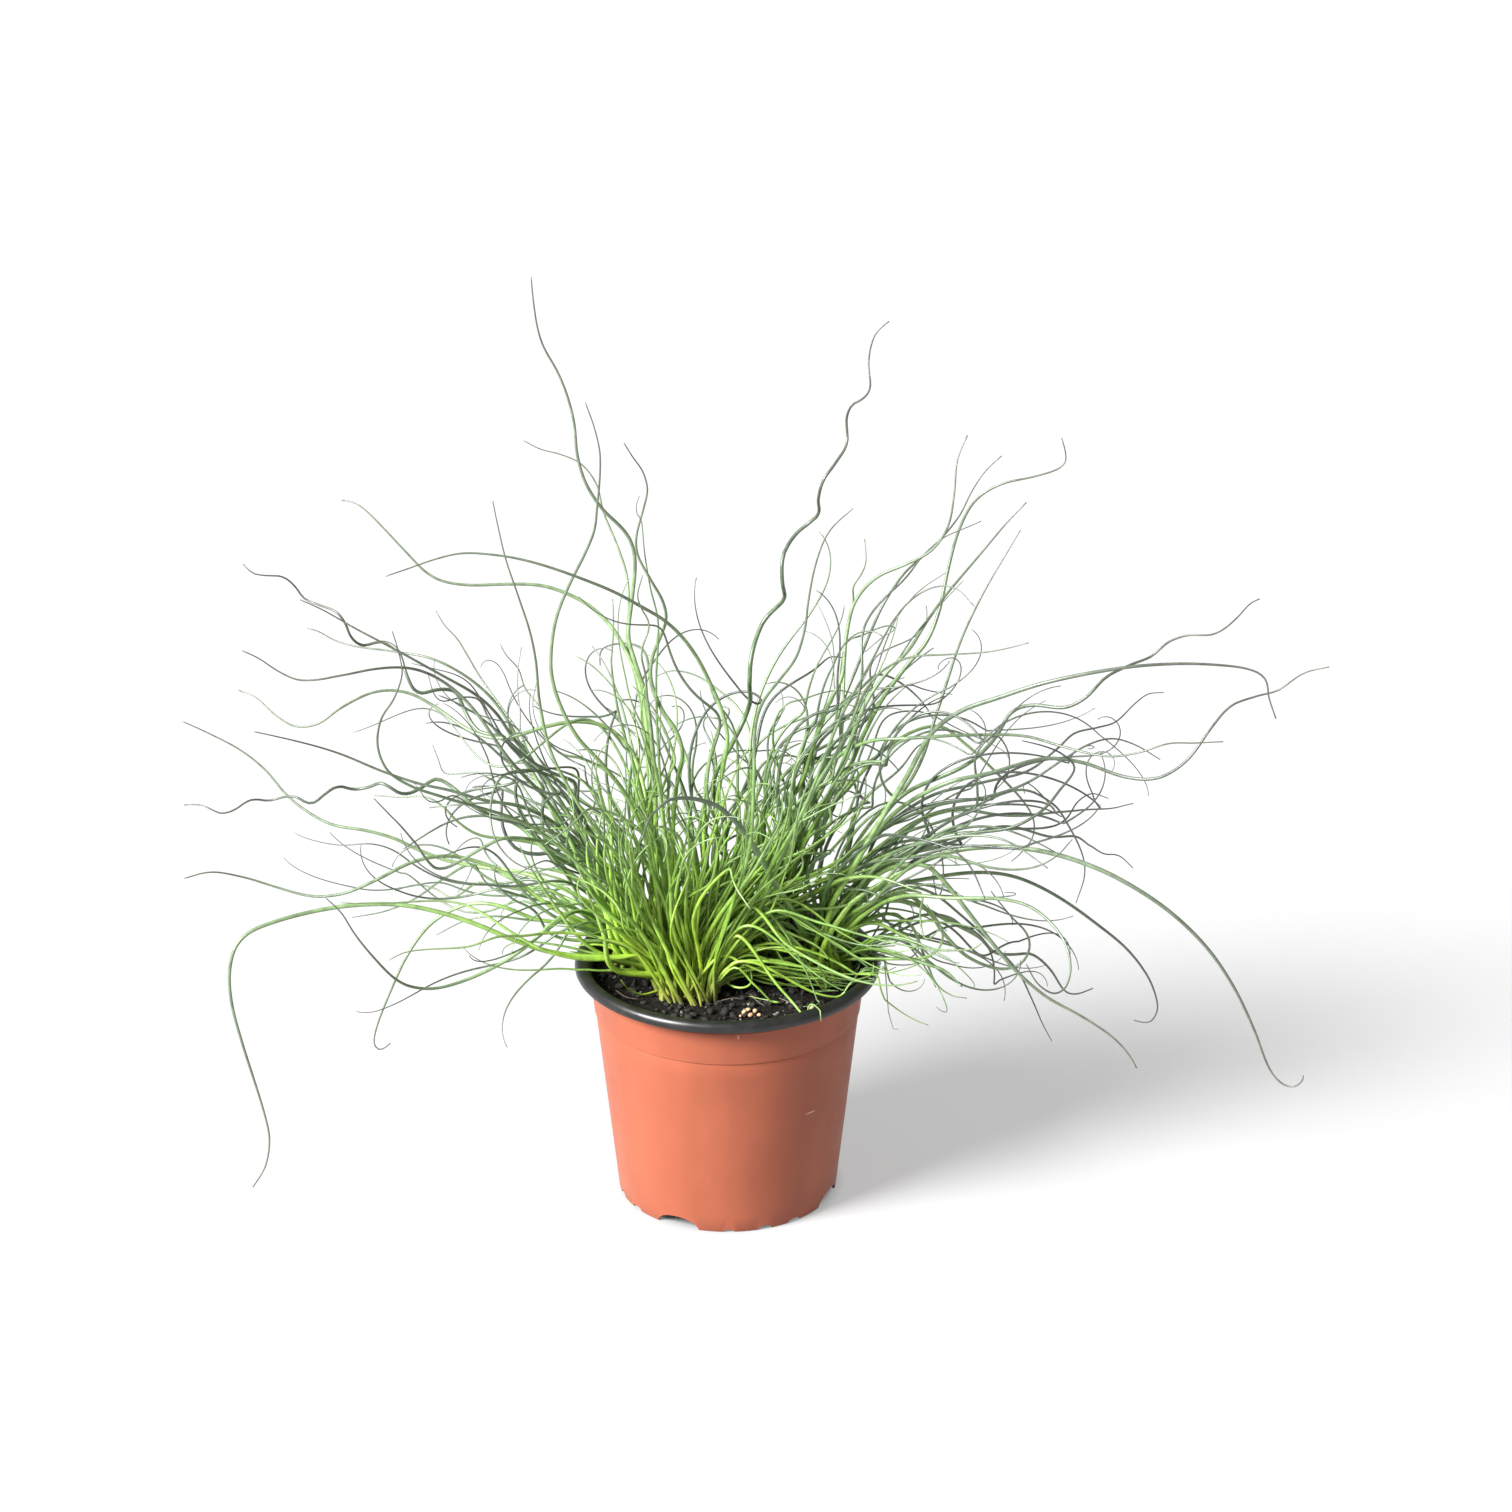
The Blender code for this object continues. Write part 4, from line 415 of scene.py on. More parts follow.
# Swathes of short stems. Each has its clump, the offset of its foot from the clump's middle (x, y) and
# the spread of its roots, a place that it passes and the place of its tips (x, z) as seen on the upright
# plane, the spread of the tips (x, z), their depth and its spread, all in mm; then the number of its
# stems, their thinnest and thickest in mm, their shade from 0 (lime) to 1 (dark), how deep they curl in
# mm and how far their tips bend round in degrees.
SWATHES = (
    # blades fanning left
    ("front", (-6, 2), 3, (-42, 105), (-49, 124), (9, 12), (-24, 6), 9, (1.6, 2.8), (0.0, 0.25), 0.8, 25),
    # fan up and left
    ("front", (-3, 0), 5, (-34, 116), (-41, 140), (13, 10), (-22, 14), 19, (1.0, 2.1), (0.0, 0.7), 1.5, 60),
    # fan straight up
    ("front", (0, 2), 6, (-20, 114), (-19, 141), (14, 11), (-16, 14), 24, (1.0, 2.0), (0.0, 0.8), 1.5, 70),
    # fan up and right
    ("front", (4, 2), 6, (-7, 116), (3, 142), (16, 11), (-14, 16), 32, (0.9, 2.0), (0.0, 0.7), 1.5, 70),
    # long sweep right
    ("front", (6, 2), 5, (15, 128), (36, 142), (20, 10), (-12, 16), 27, (0.9, 1.9), (0.0, 0.7), 2.0, 80),
    # arch over the right of the soil
    ("front", (7, -2), 4, (13, 120), (39, 103), (15, 10), (-18, 10), 22, (0.9, 1.8), (0.0, 0.8), 1.5, 60),
    # low nest on the right of the soil, its stems darker partly as painted shade in the nest
    ("front", (8, -4), 3, (9, 98), (33, 95), (14, 6), (-14, 8), 20, (0.9, 1.5), (0.4, 1.0), 2.0, 120),
    # low and left over the rim
    ("front", (-8, 2), 3, (-42, 98), (-58, 101), (12, 6), (-20, 8), 4, (1.0, 1.5), (0.3, 0.9), 1.5, 60),
    # upright bundle
    ("front", (-2, 5), 4, (-29, 163), (-32, 205), (6, 26), (-6, 12), 10, (1.1, 1.9), (0.0, 0.8), 2.5, 60),
    # left bundle
    ("left", (0, 0), 6, (-55, 148), (-79, 188), (14, 18), (5, 30), 9, (1.1, 2.0), (0.3, 1.0), 4.0, 80),
    # left, at middle height
    ("left", (-2, 2), 6, (-65, 141), (-94, 163), (24, 14), (10, 34), 5, (1.0, 1.6), (0.2, 0.9), 4.0, 90),
    # left, low
    ("left", (-3, -2), 6, (-63, 128), (-98, 132), (24, 12), (10, 34), 7, (0.9, 1.4), (0.3, 0.9), 3.0, 60),
    # left, inner
    ("left", (0, 0), 7, (-52, 124), (-61, 141), (14, 14), (-2, 22), 9, (1.2, 1.9), (0.1, 0.8), 2.0, 60),
    # left, drooping
    ("left", (-3, -3), 5, (-64, 115), (-83, 100), (20, 12), (-14, 20), 4, (1.0, 1.4), (0.4, 0.9), 2.5, 60),
    # curls behind, on the left
    ("back", (-4, 0), 6, (-45, 163), (-74, 184), (26, 16), (60, 24), 6, (0.9, 1.3), (0.4, 1.0), 6.0, 110),
    # curls behind, in the middle
    ("back", (0, 0), 7, (-8, 158), (-2, 192), (26, 20), (50, 26), 10, (0.9, 1.5), (0.5, 1.0), 6.0, 110),
    # curls behind, on the right
    ("back", (4, 0), 6, (21, 150), (42, 171), (30, 20), (50, 26), 7, (0.9, 1.4), (0.4, 1.0), 6.0, 110),
    # centre, inner
    ("middle", (-4, -4), 7, (-3, 132), (-1, 163), (22, 13), (6, 18), 8, (1.2, 1.9), (0.1, 0.9), 3.0, 90),
    # slanting bundle
    ("middle", (2, 0), 6, (24, 169), (51, 211), (12, 22), (20, 24), 10, (1.1, 1.9), (0.1, 0.9), 3.0, 60),
    # slanting bundle, lower
    ("middle", (3, -3), 6, (23, 148), (36, 175), (18, 15), (4, 20), 9, (1.2, 2.0), (0.0, 0.7), 2.5, 80),
    # level arcs to the right
    ("middle", (4, -2), 5, (51, 190), (92, 196), (36, 10), (0, 36), 5, (1.1, 1.6), (0.2, 0.9), 4.0, 60),
    # right bundle
    ("right", (0, 0), 6, (56, 132), (87, 141), (26, 18), (-6, 26), 7, (1.1, 1.9), (0.0, 0.8), 3.0, 80),
    # right, rising
    ("right", (0, 2), 6, (62, 150), (90, 175), (28, 20), (12, 34), 5, (1.0, 1.6), (0.2, 1.0), 5.0, 90),
    # right, low
    ("right", (2, -3), 6, (62, 122), (78, 111), (24, 14), (-8, 30), 10, (0.9, 1.5), (0.3, 1.0), 4.0, 110),
    # right, over the rim
    ("right", (4, -4), 4, (56, 107), (68, 97), (16, 7), (-8, 20), 8, (0.9, 1.3), (0.5, 1.0), 3.0, 100),
    # right, inner
    ("right", (-3, -2), 7, (40, 122), (46, 139), (18, 14), (-4, 18), 5, (1.1, 1.9), (0.0, 0.8), 2.5, 80),
    # rings far right
    ("right", (0, 2), 6, (67, 158), (110, 173), (26, 22), (10, 36), 6, (1.0, 1.5), (0.4, 1.0), 8.0, 200),
)

# Smaller stems. Each has its clump, the depth of its tip and its thickness in mm, its shade and its
# points like those of the long stems.
SMALL_STEMS = (
    ("front", -20, 2.4, 0.05, (
        (-25.3, 93), (-19.9, 101), (-7.9, 109.9), (2.6, 114.1), (12.4, 114.9), (23.7, 109.9),
        (35.0, 104), (40.3, 98))),
    ("front", -22, 1.8, 0.15, (
        (-12.5, 93), (-3.4, 98.2), (7.1, 102.4), (17.7, 102.8), (28.2, 99.9), (36.5, 97))),
    ("front", -24, 1.5, 0.10, (
        (-3.4, 88.4), (-1.9, 94.0), (4.1, 98.2), (10.1, 101.5), (21.4, 103.2), (32.7, 98.2),
        (38.0, 94))),
    ("front", -32, 1.4, 0.25, (
        (-4.9, 103.2), (-4.3, 96.5), (-2.7, 90.6), (1.8, 86.4), (6.4, 85.6), (9.4, 87.7), (9.4, 92.3),
        (7.1, 94.4), (4.5, 94.0))),
    ("front", -22, 1.3, 0.30, (
        (-3.4, 99.0), (7.1, 95.7), (16.2, 91.6), (26.0, 90.0), (34.3, 89.5), (40.3, 90.8))),
    ("middle", -28, 1.4, 0.15, (
        (16.9, 102.7), (22.2, 96.0), (29.0, 88.3), (35.0, 83.0), (37.7, 82.0), (39.2, 85.0),
        (38.8, 90.0), (35.7, 95.0))),
    ("right", -88, 2.8, 0.35, (
        (37, 97), (33.3, 104.3), (28.5, 112.5), (24.6, 120.4), (19.5, 130), (14.8, 139.0), (10, 147.5),
        (5.5, 154.9), (-2.7, 163.4), (-9, 166.4), (-15.1, 167.7), (-20, 167.4), (-23.6, 166.0),
        (-29.9, 159.2), (-33.1, 149.7))),
    ("middle", -36, 2.4, 0.10, (
        (16, 108), (23.6, 119.0), (28.1, 123.2), (34.1, 127.3), (40.1, 130.6), (46.0, 133.1),
        (55.0, 134.0), (62.5, 132.7), (74, 128))),
    ("front", -30, 1.1, 0.20, (
        (-22.3, 85.1), (-27.6, 82.5), (-33.6, 82.5), (-38.9, 84.9), (-41.9, 89.0))),
    ("front", -16, 1.8, 0.05, (
        (-25.3, 94.6), (-33.5, 98.8), (-41.8, 101.5), (-50.0, 104.4), (-60, 104))),
    ("left", -16, 1.7, 0.10, (
        (-33.5, 93.0), (-38.1, 95.6), (-44.6, 97.3), (-52.1, 99.8), (-62, 101.5))),
    ("left", -8, 3.0, 0.05, (
        (-32.1, 95.8), (-35.8, 99.5), (-39.5, 103.5), (-43.2, 106.9), (-45.4, 110.2), (-43.5, 111.9),
        (-40.9, 110.6), (-40.6, 106.9))),
    ("front", -34, 2.6, 0.05, (
        (-27.5, 94.2), (-28.6, 103.2), (-30.2, 114.1), (-32.1, 123.2), (-34.3, 131.5), (-36.5, 138.1),
        (-38.3, 144.7), (-43, 156), (-50, 166))),
    ("right", -8, 1.8, 0.55, (
        (38.8, 96), (37.2, 102.5), (36.4, 109.9), (37.1, 118.2), (40, 127))),
    ("right", -6, 1.7, 0.50, (
        (39.5, 97), (43.2, 103.7), (46.2, 109.4), (48.4, 116.1), (54, 124))),
    ("right", -10, 1.6, 0.45, (
        (40.3, 97), (47.0, 100.0), (53.0, 101.7), (57.5, 103.2), (66, 104))),
    ("middle", -20, 1.6, 0.15, (
        (2.7, 126.5), (5.3, 138.1), (9.4, 147.9), (13.9, 157.0), (18.0, 164.3), (22.0, 172.5))),
    ("right", 20, 1.5, 0.70, (
        (44, 130), (64, 150), (84, 158), (96, 163), (97, 173), (96, 184), (100, 192), (105, 193.5),
        (109, 186), (108.5, 177), (104, 171))),
    ("right", 40, 1.4, 0.65, (
        (46, 120), (66, 142), (90, 160), (112, 171), (126, 165.5), (133, 155.5), (138.5, 143.5),
        (139.5, 134), (136.5, 122.5))),
    ("right", 55, 1.3, 0.60, (
        (40, 106), (54, 120), (68, 129), (80, 127), (92, 117), (104, 105), (114, 93.5), (120, 81),
        (124.5, 70), (128.5, 62))),
    ("right", -10, 1.6, 0.50, (
        (40, 102), (50, 112), (62, 118), (72, 113), (77, 101), (82, 88), (88, 82.5), (94.5, 81))),
    ("right", -40, 2.4, 0.85, (
        (42, 98), (54, 103), (66, 100), (78, 96), (86, 92.7), (92.5, 86))),
    ("right", -35, 1.5, 0.40, (
        (42, 97), (50, 98.2), (59, 98.3), (68, 98.3), (76, 98.5), (82, 101.5), (84.6, 107), (83, 114),
        (78, 122))),
    ("right", -25, 1.7, 0.10, (
        (44, 106), (56, 114), (68, 109), (74, 105.5), (81, 102.5), (88, 102), (96, 102.5), (100, 105))),
    ("right", -30, 1.5, 0.10, (
        (44, 110), (62, 126), (75.5, 127), (75.5, 118), (76.5, 110), (78, 107), (80.5, 108),
        (83, 111))),
    ("right", -30, 1.8, 0.75, (
        (46, 126), (70, 145), (92, 152), (110, 155), (122, 162), (129, 171), (134.5, 180), (130, 186),
        (123, 189.5), (114, 192))),
    ("back", 75, 1.6, 0.70, (
        (40, 128), (58, 152), (78, 168), (98, 174), (116, 179), (127, 188), (134, 195), (143, 197.5),
        (150, 200), (157, 207.5), (162, 211.5), (168, 212.2))),
    ("right", 25, 1.6, 0.60, (
        (38, 130), (58, 152), (80, 164), (100, 168), (116, 174), (130, 184), (140, 190.5), (149, 192.8),
        (158, 190), (167.5, 184))),
    ("right", 55, 1.5, 0.80, (
        (44, 122), (64, 140), (86, 150), (106, 154), (124, 155), (131.5, 158.5), (136, 166),
        (141.5, 169.5), (148, 167.5))),
    ("left", 85, 1.4, 0.60, (
        (-50, 114), (-66, 124), (-84, 133), (-98, 139.5), (-110, 133.5), (-122, 124.5), (-134, 119),
        (-147, 116.3))),
    ("front", -20, 1.3, 0.80, (
        (-22, 104), (-23, 140), (-26, 180), (-27, 215), (-26, 240), (-29, 256), (-31, 270),
        (-32, 282.5), (-33.5, 285), (-34, 289), (-32.8, 293))),
    ("back", 60, 1.2, 0.75, (
        (4, 130), (8, 155), (9, 178), (5, 190), (-1, 200), (-9, 202), (-13, 201.5), (-17, 200),
        (-20, 198), (-23, 195))),
    ("left", 30, 1.3, 0.70, (
        (-42, 118), (-54, 138), (-68, 156), (-80, 168), (-92, 176), (-97, 178.5), (-104, 178),
        (-109.5, 178.5), (-111.5, 184), (-113.5, 190))),
    ("left", 50, 1.2, 0.65, (
        (-42, 120), (-54, 146), (-67, 170), (-76, 186), (-79.5, 196), (-79.5, 204), (-80.3, 212),
        (-80, 222), (-78.5, 231))),
    ("middle", 20, 1.4, 0.75, (
        (18, 125), (30, 155), (39, 185), (43, 208), (44, 222), (46, 233), (52, 236), (57, 238.5),
        (62, 240), (64.5, 238.5), (60, 235.5), (53, 229))),
)

# Bits on the soil: their light and dark colour and their roughness
BIT_FINISHES = {
    "bark_crumb": ((0.018, 0.014, 0.011), (0.005, 0.004, 0.0035), 0.9),
    "grit": ((0.20, 0.18, 0.155), (0.075, 0.065, 0.055), 0.8),
    "root_fibre": ((0.20, 0.165, 0.12), (0.09, 0.07, 0.055), 0.7),
    "cream_bead": ((0.62, 0.55, 0.36), (0.52, 0.44, 0.27), 0.45),
    "tan_bead": ((0.60, 0.38, 0.22), (0.38, 0.20, 0.10), 0.5),
}

# Scattered bits: their finish, their number, and their smallest and largest size in mm. They keep clear
# of the pot's wall, and each is drawn out or pressed flat along its own three axes.
SCATTERED_BITS = {
    "crumbs": ("bark_crumb", 700, 0.35, 1.9),
    "bark": ("bark_crumb", 116, 1.2, 2.6),
    "grit": ("grit", 140, 0.25, 1.0),
}
SCATTER_EDGE = 2.5 * MM
BIT_STRETCH = ((0.7, 1.4), (0.6, 1.1), (0.5, 0.9))

# Root fibres lying on the soil: (x, z) in mm as seen on the upright plane, and lift above the soil in mm
ROOT_FIBRES = (
    ((-4.0, 79.5, 0.8), (2.0, 81.0, 1.4), (6.0, 80.5, 0.8)),
    ((9.0, 83.0, 0.9), (12.0, 79.5, 1.3), (15.0, 77.5, 0.8)),
    ((20.5, 81.0, 0.8), (24.0, 79.5, 1.2), (27.0, 77.8, 0.8)),
    ((-44.0, 84.5, 0.8), (-40.0, 81.5, 1.4), (-35.0, 80.5, 0.8)),
)
FIBRE_STEP = 1.0 * MM
FIBRE_THICKNESS = 0.35
FIBRE_TIP_SHARE = 0.4

# Feed beads: their finish, how often their facets are split, how uneven they are, their lift above the
# soil in mm, then for each bead (x, z) in mm as seen on the upright plane and its radius in mm
BEADS = {
    "cream_beads": ("cream_bead", 3, 0.03, 0.9, ((33.0, 77.0, 1.6),)),
    "tan_beads": ("tan_bead", 2, 0.12, 0.7, (
        (6.8, 74.6, 1.5), (9.2, 73.6, 1.3), (8.2, 76.0, 1.0), (11.0, 75.4, 1.1), (5.2, 73.2, 0.9),
        (12.6, 73.6, 0.8))),
}


# Pot, soil and ways of the stems, by the same rules as in the CAD
def wall_radius(height):
    """Outer radius of the pot's tapered wall."""
    step = SHOULDER_STEP if height > SHOULDER_HEIGHT else 0.0
    return BASE_RADIUS + TAPER * height + step


def join_rings(bm, lower, upper):
    count = len(lower)
    for k in range(count):
        bm.faces.new((lower[k], lower[(k + 1) % count], upper[(k + 1) % count], upper[k]))


def prism(name, outline, along):
    """A cutter: an outline of points carried straight along a vector."""
    bm = bmesh.new()
    near = [bm.verts.new(point) for point in outline]
    far = [bm.verts.new(point + along) for point in outline]
    join_rings(bm, near, far)
    bm.faces.new(near)
    bm.faces.new(far)
    bmesh.ops.recalc_face_normals(bm, faces=bm.faces)
    mesh = bpy.data.meshes.new(name)
    bm.to_mesh(mesh)
    bm.free()
    cutter = bpy.data.objects.new(name, mesh)
    cutter.location = PLACE
    cutter.hide_render = True
    cutter.display_type = "WIRE"
    bpy.context.scene.collection.objects.link(cutter)
    return cutter


def notch_cutters(sides):
    """Arched cutters that open the foot towards the outside."""
    cutters = []
    for wide in WIDE_NOTCHES:
        for degrees, half_width, height in FOOT_NOTCHES:
            angle = math.radians(wide + degrees)
            outward = Vector((math.cos(angle), math.sin(angle), 0.0))
            sideways = Vector((-outward.y, outward.x, 0.0))
            start = outward * (BASE_RADIUS - 4.5 * MM)
            outline = []
            for k in range(sides):
                turn = 2.0 * math.pi * (k + 0.5) / sides
                rise = Vector((0.0, 0.0, height * MM * math.sin(turn)))
                outline.append(start + sideways * half_width * MM * math.cos(turn) + rise)
            cutters.append(prism(f"foot_notch_{len(cutters)}", outline, outward * 8.0 * MM))
    return cutters


def drain_cutters(sides):
    """Upright round cutters for the drain holes in the floor."""
    cutters = []
    for hole in range(DRAIN_HOLES):
        angle = 2.0 * math.pi * hole / DRAIN_HOLES
        middle = Vector((math.cos(angle), math.sin(angle), 0.0)) * DRAIN_RING
        outline = []
        for k in range(sides):
            turn = 2.0 * math.pi * k / sides
            outline.append(middle + Vector((math.cos(turn), math.sin(turn), 0.0)) * DRAIN_RADIUS
                           + Vector((0.0, 0.0, FLOOR_UNDERSIDE - 1.0 * MM)))
        cutters.append(prism(f"drain_hole_{hole}", outline, Vector((0.0, 0.0, 3.0 * MM))))
    return cutters


def soil_height(x, y):
    """Height of the soil's gently uneven top."""
    ripple = math.sin(x / (7.0 * MM) + 1.0) * math.cos(y / (8.0 * MM)) + math.sin((x - y) / (11.0 * MM))
    return SOIL_LEVEL + 0.5 * SOIL_RIPPLE * ripple


def along_sight(x, z, depth):
    """The point seen at (x, z) on the upright plane through the pot's axis, at a depth behind it."""
    share = (depth - EYE.y) / -EYE.y
    return (EYE.x + (x - EYE.x) * share, depth, EYE.z + (z - EYE.z) * share)


def evenly(points, step):
    """Points a step apart, both ends kept, on the smooth curve through the given ones."""
    given = np.array(points)
    padded = np.vstack([2.0 * given[0] - given[1], given, 2.0 * given[-1] - given[-2]])
    share = np.linspace(0.0, 1.0, 24, endpoint=False)[:, None]
    pieces = []
    for a, b, c, d in zip(padded, padded[1:], padded[2:], padded[3:]):
        pieces.append(0.5 * (2.0 * b + (c - a) * share + (2.0 * a - 5.0 * b + 4.0 * c - d) * share ** 2
                             + (3.0 * b - a - 3.0 * c + d) * share ** 3))
    dense = np.vstack(pieces + [given[-1:]])
    return spaced(dense, step)


def run_lengths(route):
    """Length of the way from the start to each point."""
    return np.concatenate([[0.0], np.cumsum(np.linalg.norm(np.diff(route, axis=0), axis=1))])


def spaced(route, step):
    way = run_lengths(route)
    marks = np.linspace(0.0, way[-1], max(int(round(way[-1] / step)), 4) + 1)
    return np.stack([np.interp(marks, way, route[:, axis]) for axis in range(3)], axis=1)


def stem_roots():
    """Root of each long stem: the stems of a clump stand in the order of the ways they lean."""
    roots = {}
    for clump, ((cx, cy), *_) in CLUMPS.items():
        aims = {}
        for name, (home, tip_depth, _, _, _, points) in STEMS.items():
            if home == clump:
                x = points[len(points) // 2][0]
                aims[name] = math.atan2(0.6 * tip_depth - cy, x - cx)
        names = sorted(aims, key=aims.get)
        for order, name in enumerate(names):
            spread = 2.0 * math.pi * order / len(names) - math.pi
            roots[name] = on_ring(clump, spread)
    return roots


def on_ring(clump, angle):
    (cx, cy), radius = CLUMPS[clump][:2]
    around = radius + 2.6
    return (cx + around * math.cos(angle)) * MM, (cy + around * math.sin(angle)) * MM


def stem_route(name, root):
    """Smooth way of a long stem from the soil to its tip, with its curl in depth."""
    _, tip_depth, _, curl, turn_length, points = STEMS[name]
    flat = run_lengths(np.array(points, dtype=float))
    start = flat[-1] * 0.06
    shares = (flat + start) / (flat[-1] + start)
    seen = []
    for (x, z), share in zip(points, shares):
        depth = root[1] + (tip_depth * MM - root[1]) * share ** DEPTH_POWER
        seen.append(along_sight(x * MM, z * MM, depth))
    base = (*root, soil_height(*root) + 2.0 * GAP)
    route = evenly([base] + seen, ROUTE_STEP)
    way = run_lengths(route)
    swell = np.clip(way / (70.0 * MM), 0.0, 1.0)
    route[:, 1] += curl * MM * swell * np.sin(2.0 * math.pi * way / (turn_length * MM) + len(points))
    return route


def sprout_route(base, outward, reach, rise, turn, phase):
    """A short stem: up from the crown and over in an arch, curling a little about its way."""
    arch = np.linspace(0.0, turn, 40)
    across = Vector((0.0, 0.0, 1.0)).cross(outward)
    spin = 2.0 * math.pi * np.linspace(0.0, 1.0, 40) * (reach + rise) / (SPROUT_TURN_LENGTH * MM) + phase
    curl = SPROUT_CURL * MM * np.clip(4.0 * np.linspace(0.0, 1.0, 40), 0.0, 1.0)
    route = np.array(base)[None, :] + np.outer(reach * (1.0 - np.cos(arch)), np.array(outward))
    route[:, 2] += rise * np.sin(arch)
    route += np.outer(curl * (np.sin(spin) - math.sin(phase)), np.array(across))
    return spaced(route, ROUTE_STEP)


def crown_grid(clump):
    """Corners of the crown's domed top, row by row, and the height of its underside."""
    (cx, cy), radius = CLUMPS[clump][:2]
    underside = max(soil_height((cx + radius * math.cos(a)) * MM, (cy + radius * math.sin(a)) * MM)
                    for a in np.linspace(0.0, 2.0 * math.pi, 24)) + 2.0 * GAP
    rows = []
    for j in range(SPROUT_GRID + 1):
        v = 2.0 * j / SPROUT_GRID - 1.0
        row = []
        for i in range(SPROUT_GRID + 1):
            u = 2.0 * i / SPROUT_GRID - 1.0
            x = cx * MM + radius * MM * u * math.sqrt(1.0 - 0.5 * v * v)
            y = cy * MM + radius * MM * v * math.sqrt(1.0 - 0.5 * u * u)
            height = CROWN_SIDE_HEIGHT + CROWN_DOME_HEIGHT * (1.0 - 0.5 * (u * u + v * v))
            row.append(Vector((x, y, underside + height)))
        rows.append(row)
    return rows, underside


def clump_sprouts(clump):
    """Start and route of the short stem on each facet of the clump's crown."""
    (cx, cy), radius, (lean_x, lean_y), reach, rise = CLUMPS[clump]
    rows, _ = crown_grid(clump)
    routes = {}
    for j in range(SPROUT_GRID):
        for i in range(SPROUT_GRID):
            corners = (rows[j][i], rows[j][i + 1], rows[j + 1][i + 1], rows[j + 1][i])
            middle = sum(corners, Vector()) / 4.0
            away = Vector((middle.x - cx * MM, middle.y - cy * MM, 0.0)) / (radius * MM)
            aim = away * 1.2 + Vector((lean_x, lean_y, 0.0))
            order = j * SPROUT_GRID + i
            wobble = math.sin(2.4 * order + cx)
            bend = min(aim.length, 1.4)
            turn = math.radians(62.0 + 42.0 * bend + 12.0 * wobble)
            length = 1.0 + 0.28 * math.sin(5.1 * order + cy)
            routes[(i, j)] = sprout_route(middle, aim.normalized(), reach * bend * length * MM,
                                          rise * length * MM, turn, order)
    return routes


def surface_under(points):
    """Height of what lies under each point: soil, the pot's rim, or the ground well below."""
    away = np.hypot(points[:, 0], points[:, 1])
    inner_edge, outer_edge = RIM_RADIUS - LIP_WIDTH - 1.5 * MM, RIM_RADIUS + 2.5 * MM
    return np.interp(away, [inner_edge - 3.0 * MM, inner_edge, outer_edge, outer_edge + 4.0 * MM],
                     [SOIL_LEVEL + SOIL_RIPPLE, RIM_HEIGHT, RIM_HEIGHT, 8.0 * MM])


def nearest_shares(start_a, way_a, start_b, way_b):
    """How far along each of two segments their nearest points lie, for many pairs at once."""
    between = start_a - start_b
    aa = np.einsum("ij,ij->i", way_a, way_a)
    bb = np.einsum("ij,ij->i", way_b, way_b)
    ab = np.einsum("ij,ij->i", way_a, way_b)
    ca = np.einsum("ij,ij->i", way_a, between)
    cb = np.einsum("ij,ij->i", way_b, between)
    slant = np.maximum(aa * bb - ab * ab, 1e-18)
    share_a = np.clip((ab * cb - ca * bb) / slant, 0.0, 1.0)
    share_b = np.clip((ab * share_a + cb) / bb, 0.0, 1.0)
    share_a = np.clip((ab * share_b - ca) / aa, 0.0, 1.0)
    return share_a, share_b


def close_pairs(points, radii, owner, way_mark):
    """Pairs of stem segments that come nearer than their thickness and the clearance allow."""
    first = np.flatnonzero(owner[:-1] == owner[1:])
    start, way = points[first], points[first + 1] - points[first]
    middle, half = start + 0.5 * way, 0.5 * np.linalg.norm(way, axis=1)
    square = np.einsum("ij,ij->i", middle, middle)
    spread = square[:, None] + square[None, :] - 2.0 * middle @ middle.T
    reach = half[:, None] + half[None, :] + 2.0 * radii.max() + CLEARANCE
    one, two = np.nonzero(np.triu(spread < reach * reach, 1))
    way_between = way_mark[first[two]] - way_mark[first[one] + 1]
    keep = (owner[first[one]] != owner[first[two]]) | (way_between > 6.0 * MM)
    one, two = one[keep], two[keep]
    share_one, share_two = nearest_shares(start[one], way[one], start[two], way[two])
    apart = start[one] + share_one[:, None] * way[one] - start[two] - share_two[:, None] * way[two]
    distance = np.linalg.norm(apart, axis=1)
    wide_one = radii[first[one]] * (1.0 - share_one) + radii[first[one] + 1] * share_one
    wide_two = radii[first[two]] * (1.0 - share_two) + radii[first[two] + 1] * share_two
    lack = wide_one + wide_two + CLEARANCE - distance
    keep = lack > 0.0
    return (first[one][keep], first[two][keep], share_one[keep], share_two[keep], apart[keep],
            distance[keep], lack[keep])


def push_apart(points, radii, owner, way_mark):
    """How each point should move so that stems that touch come apart, and how many pairs touch."""
    one, two, share_one, share_two, apart, distance, lack = close_pairs(points, radii, owner, way_mark)
    move = np.zeros_like(points)
    count = np.full(len(points), 1e-9)
    sight = points[one] - np.array(EYE)
    sight /= np.linalg.norm(sight, axis=1)[:, None]
    sight[points[one][:, 2] < CROWDED_HEIGHT] *= 0.15
    side = np.where(np.einsum("ij,ij->i", apart, sight) >= 0.0, 1.0, -1.0)
    way = apart / np.maximum(distance, 0.02 * MM)[:, None] + 0.7 * side[:, None] * sight
    way /= np.maximum(np.linalg.norm(way, axis=1), 1e-9)[:, None]
    for first, share, sign in ((one, share_one, 1.0), (two, share_two, -1.0)):
        weight = (1.0 - share) ** 2 + share ** 2
        step = sign * 0.5 * lack[:, None] * way
        np.add.at(move, first, step * ((1.0 - share) / weight)[:, None])
        np.add.at(move, first + 1, step * (share / weight)[:, None])
        np.add.at(count, first, 1.0 - share)
        np.add.at(count, first + 1, share)
    return move / np.maximum(count, 1.0)[:, None], len(one)


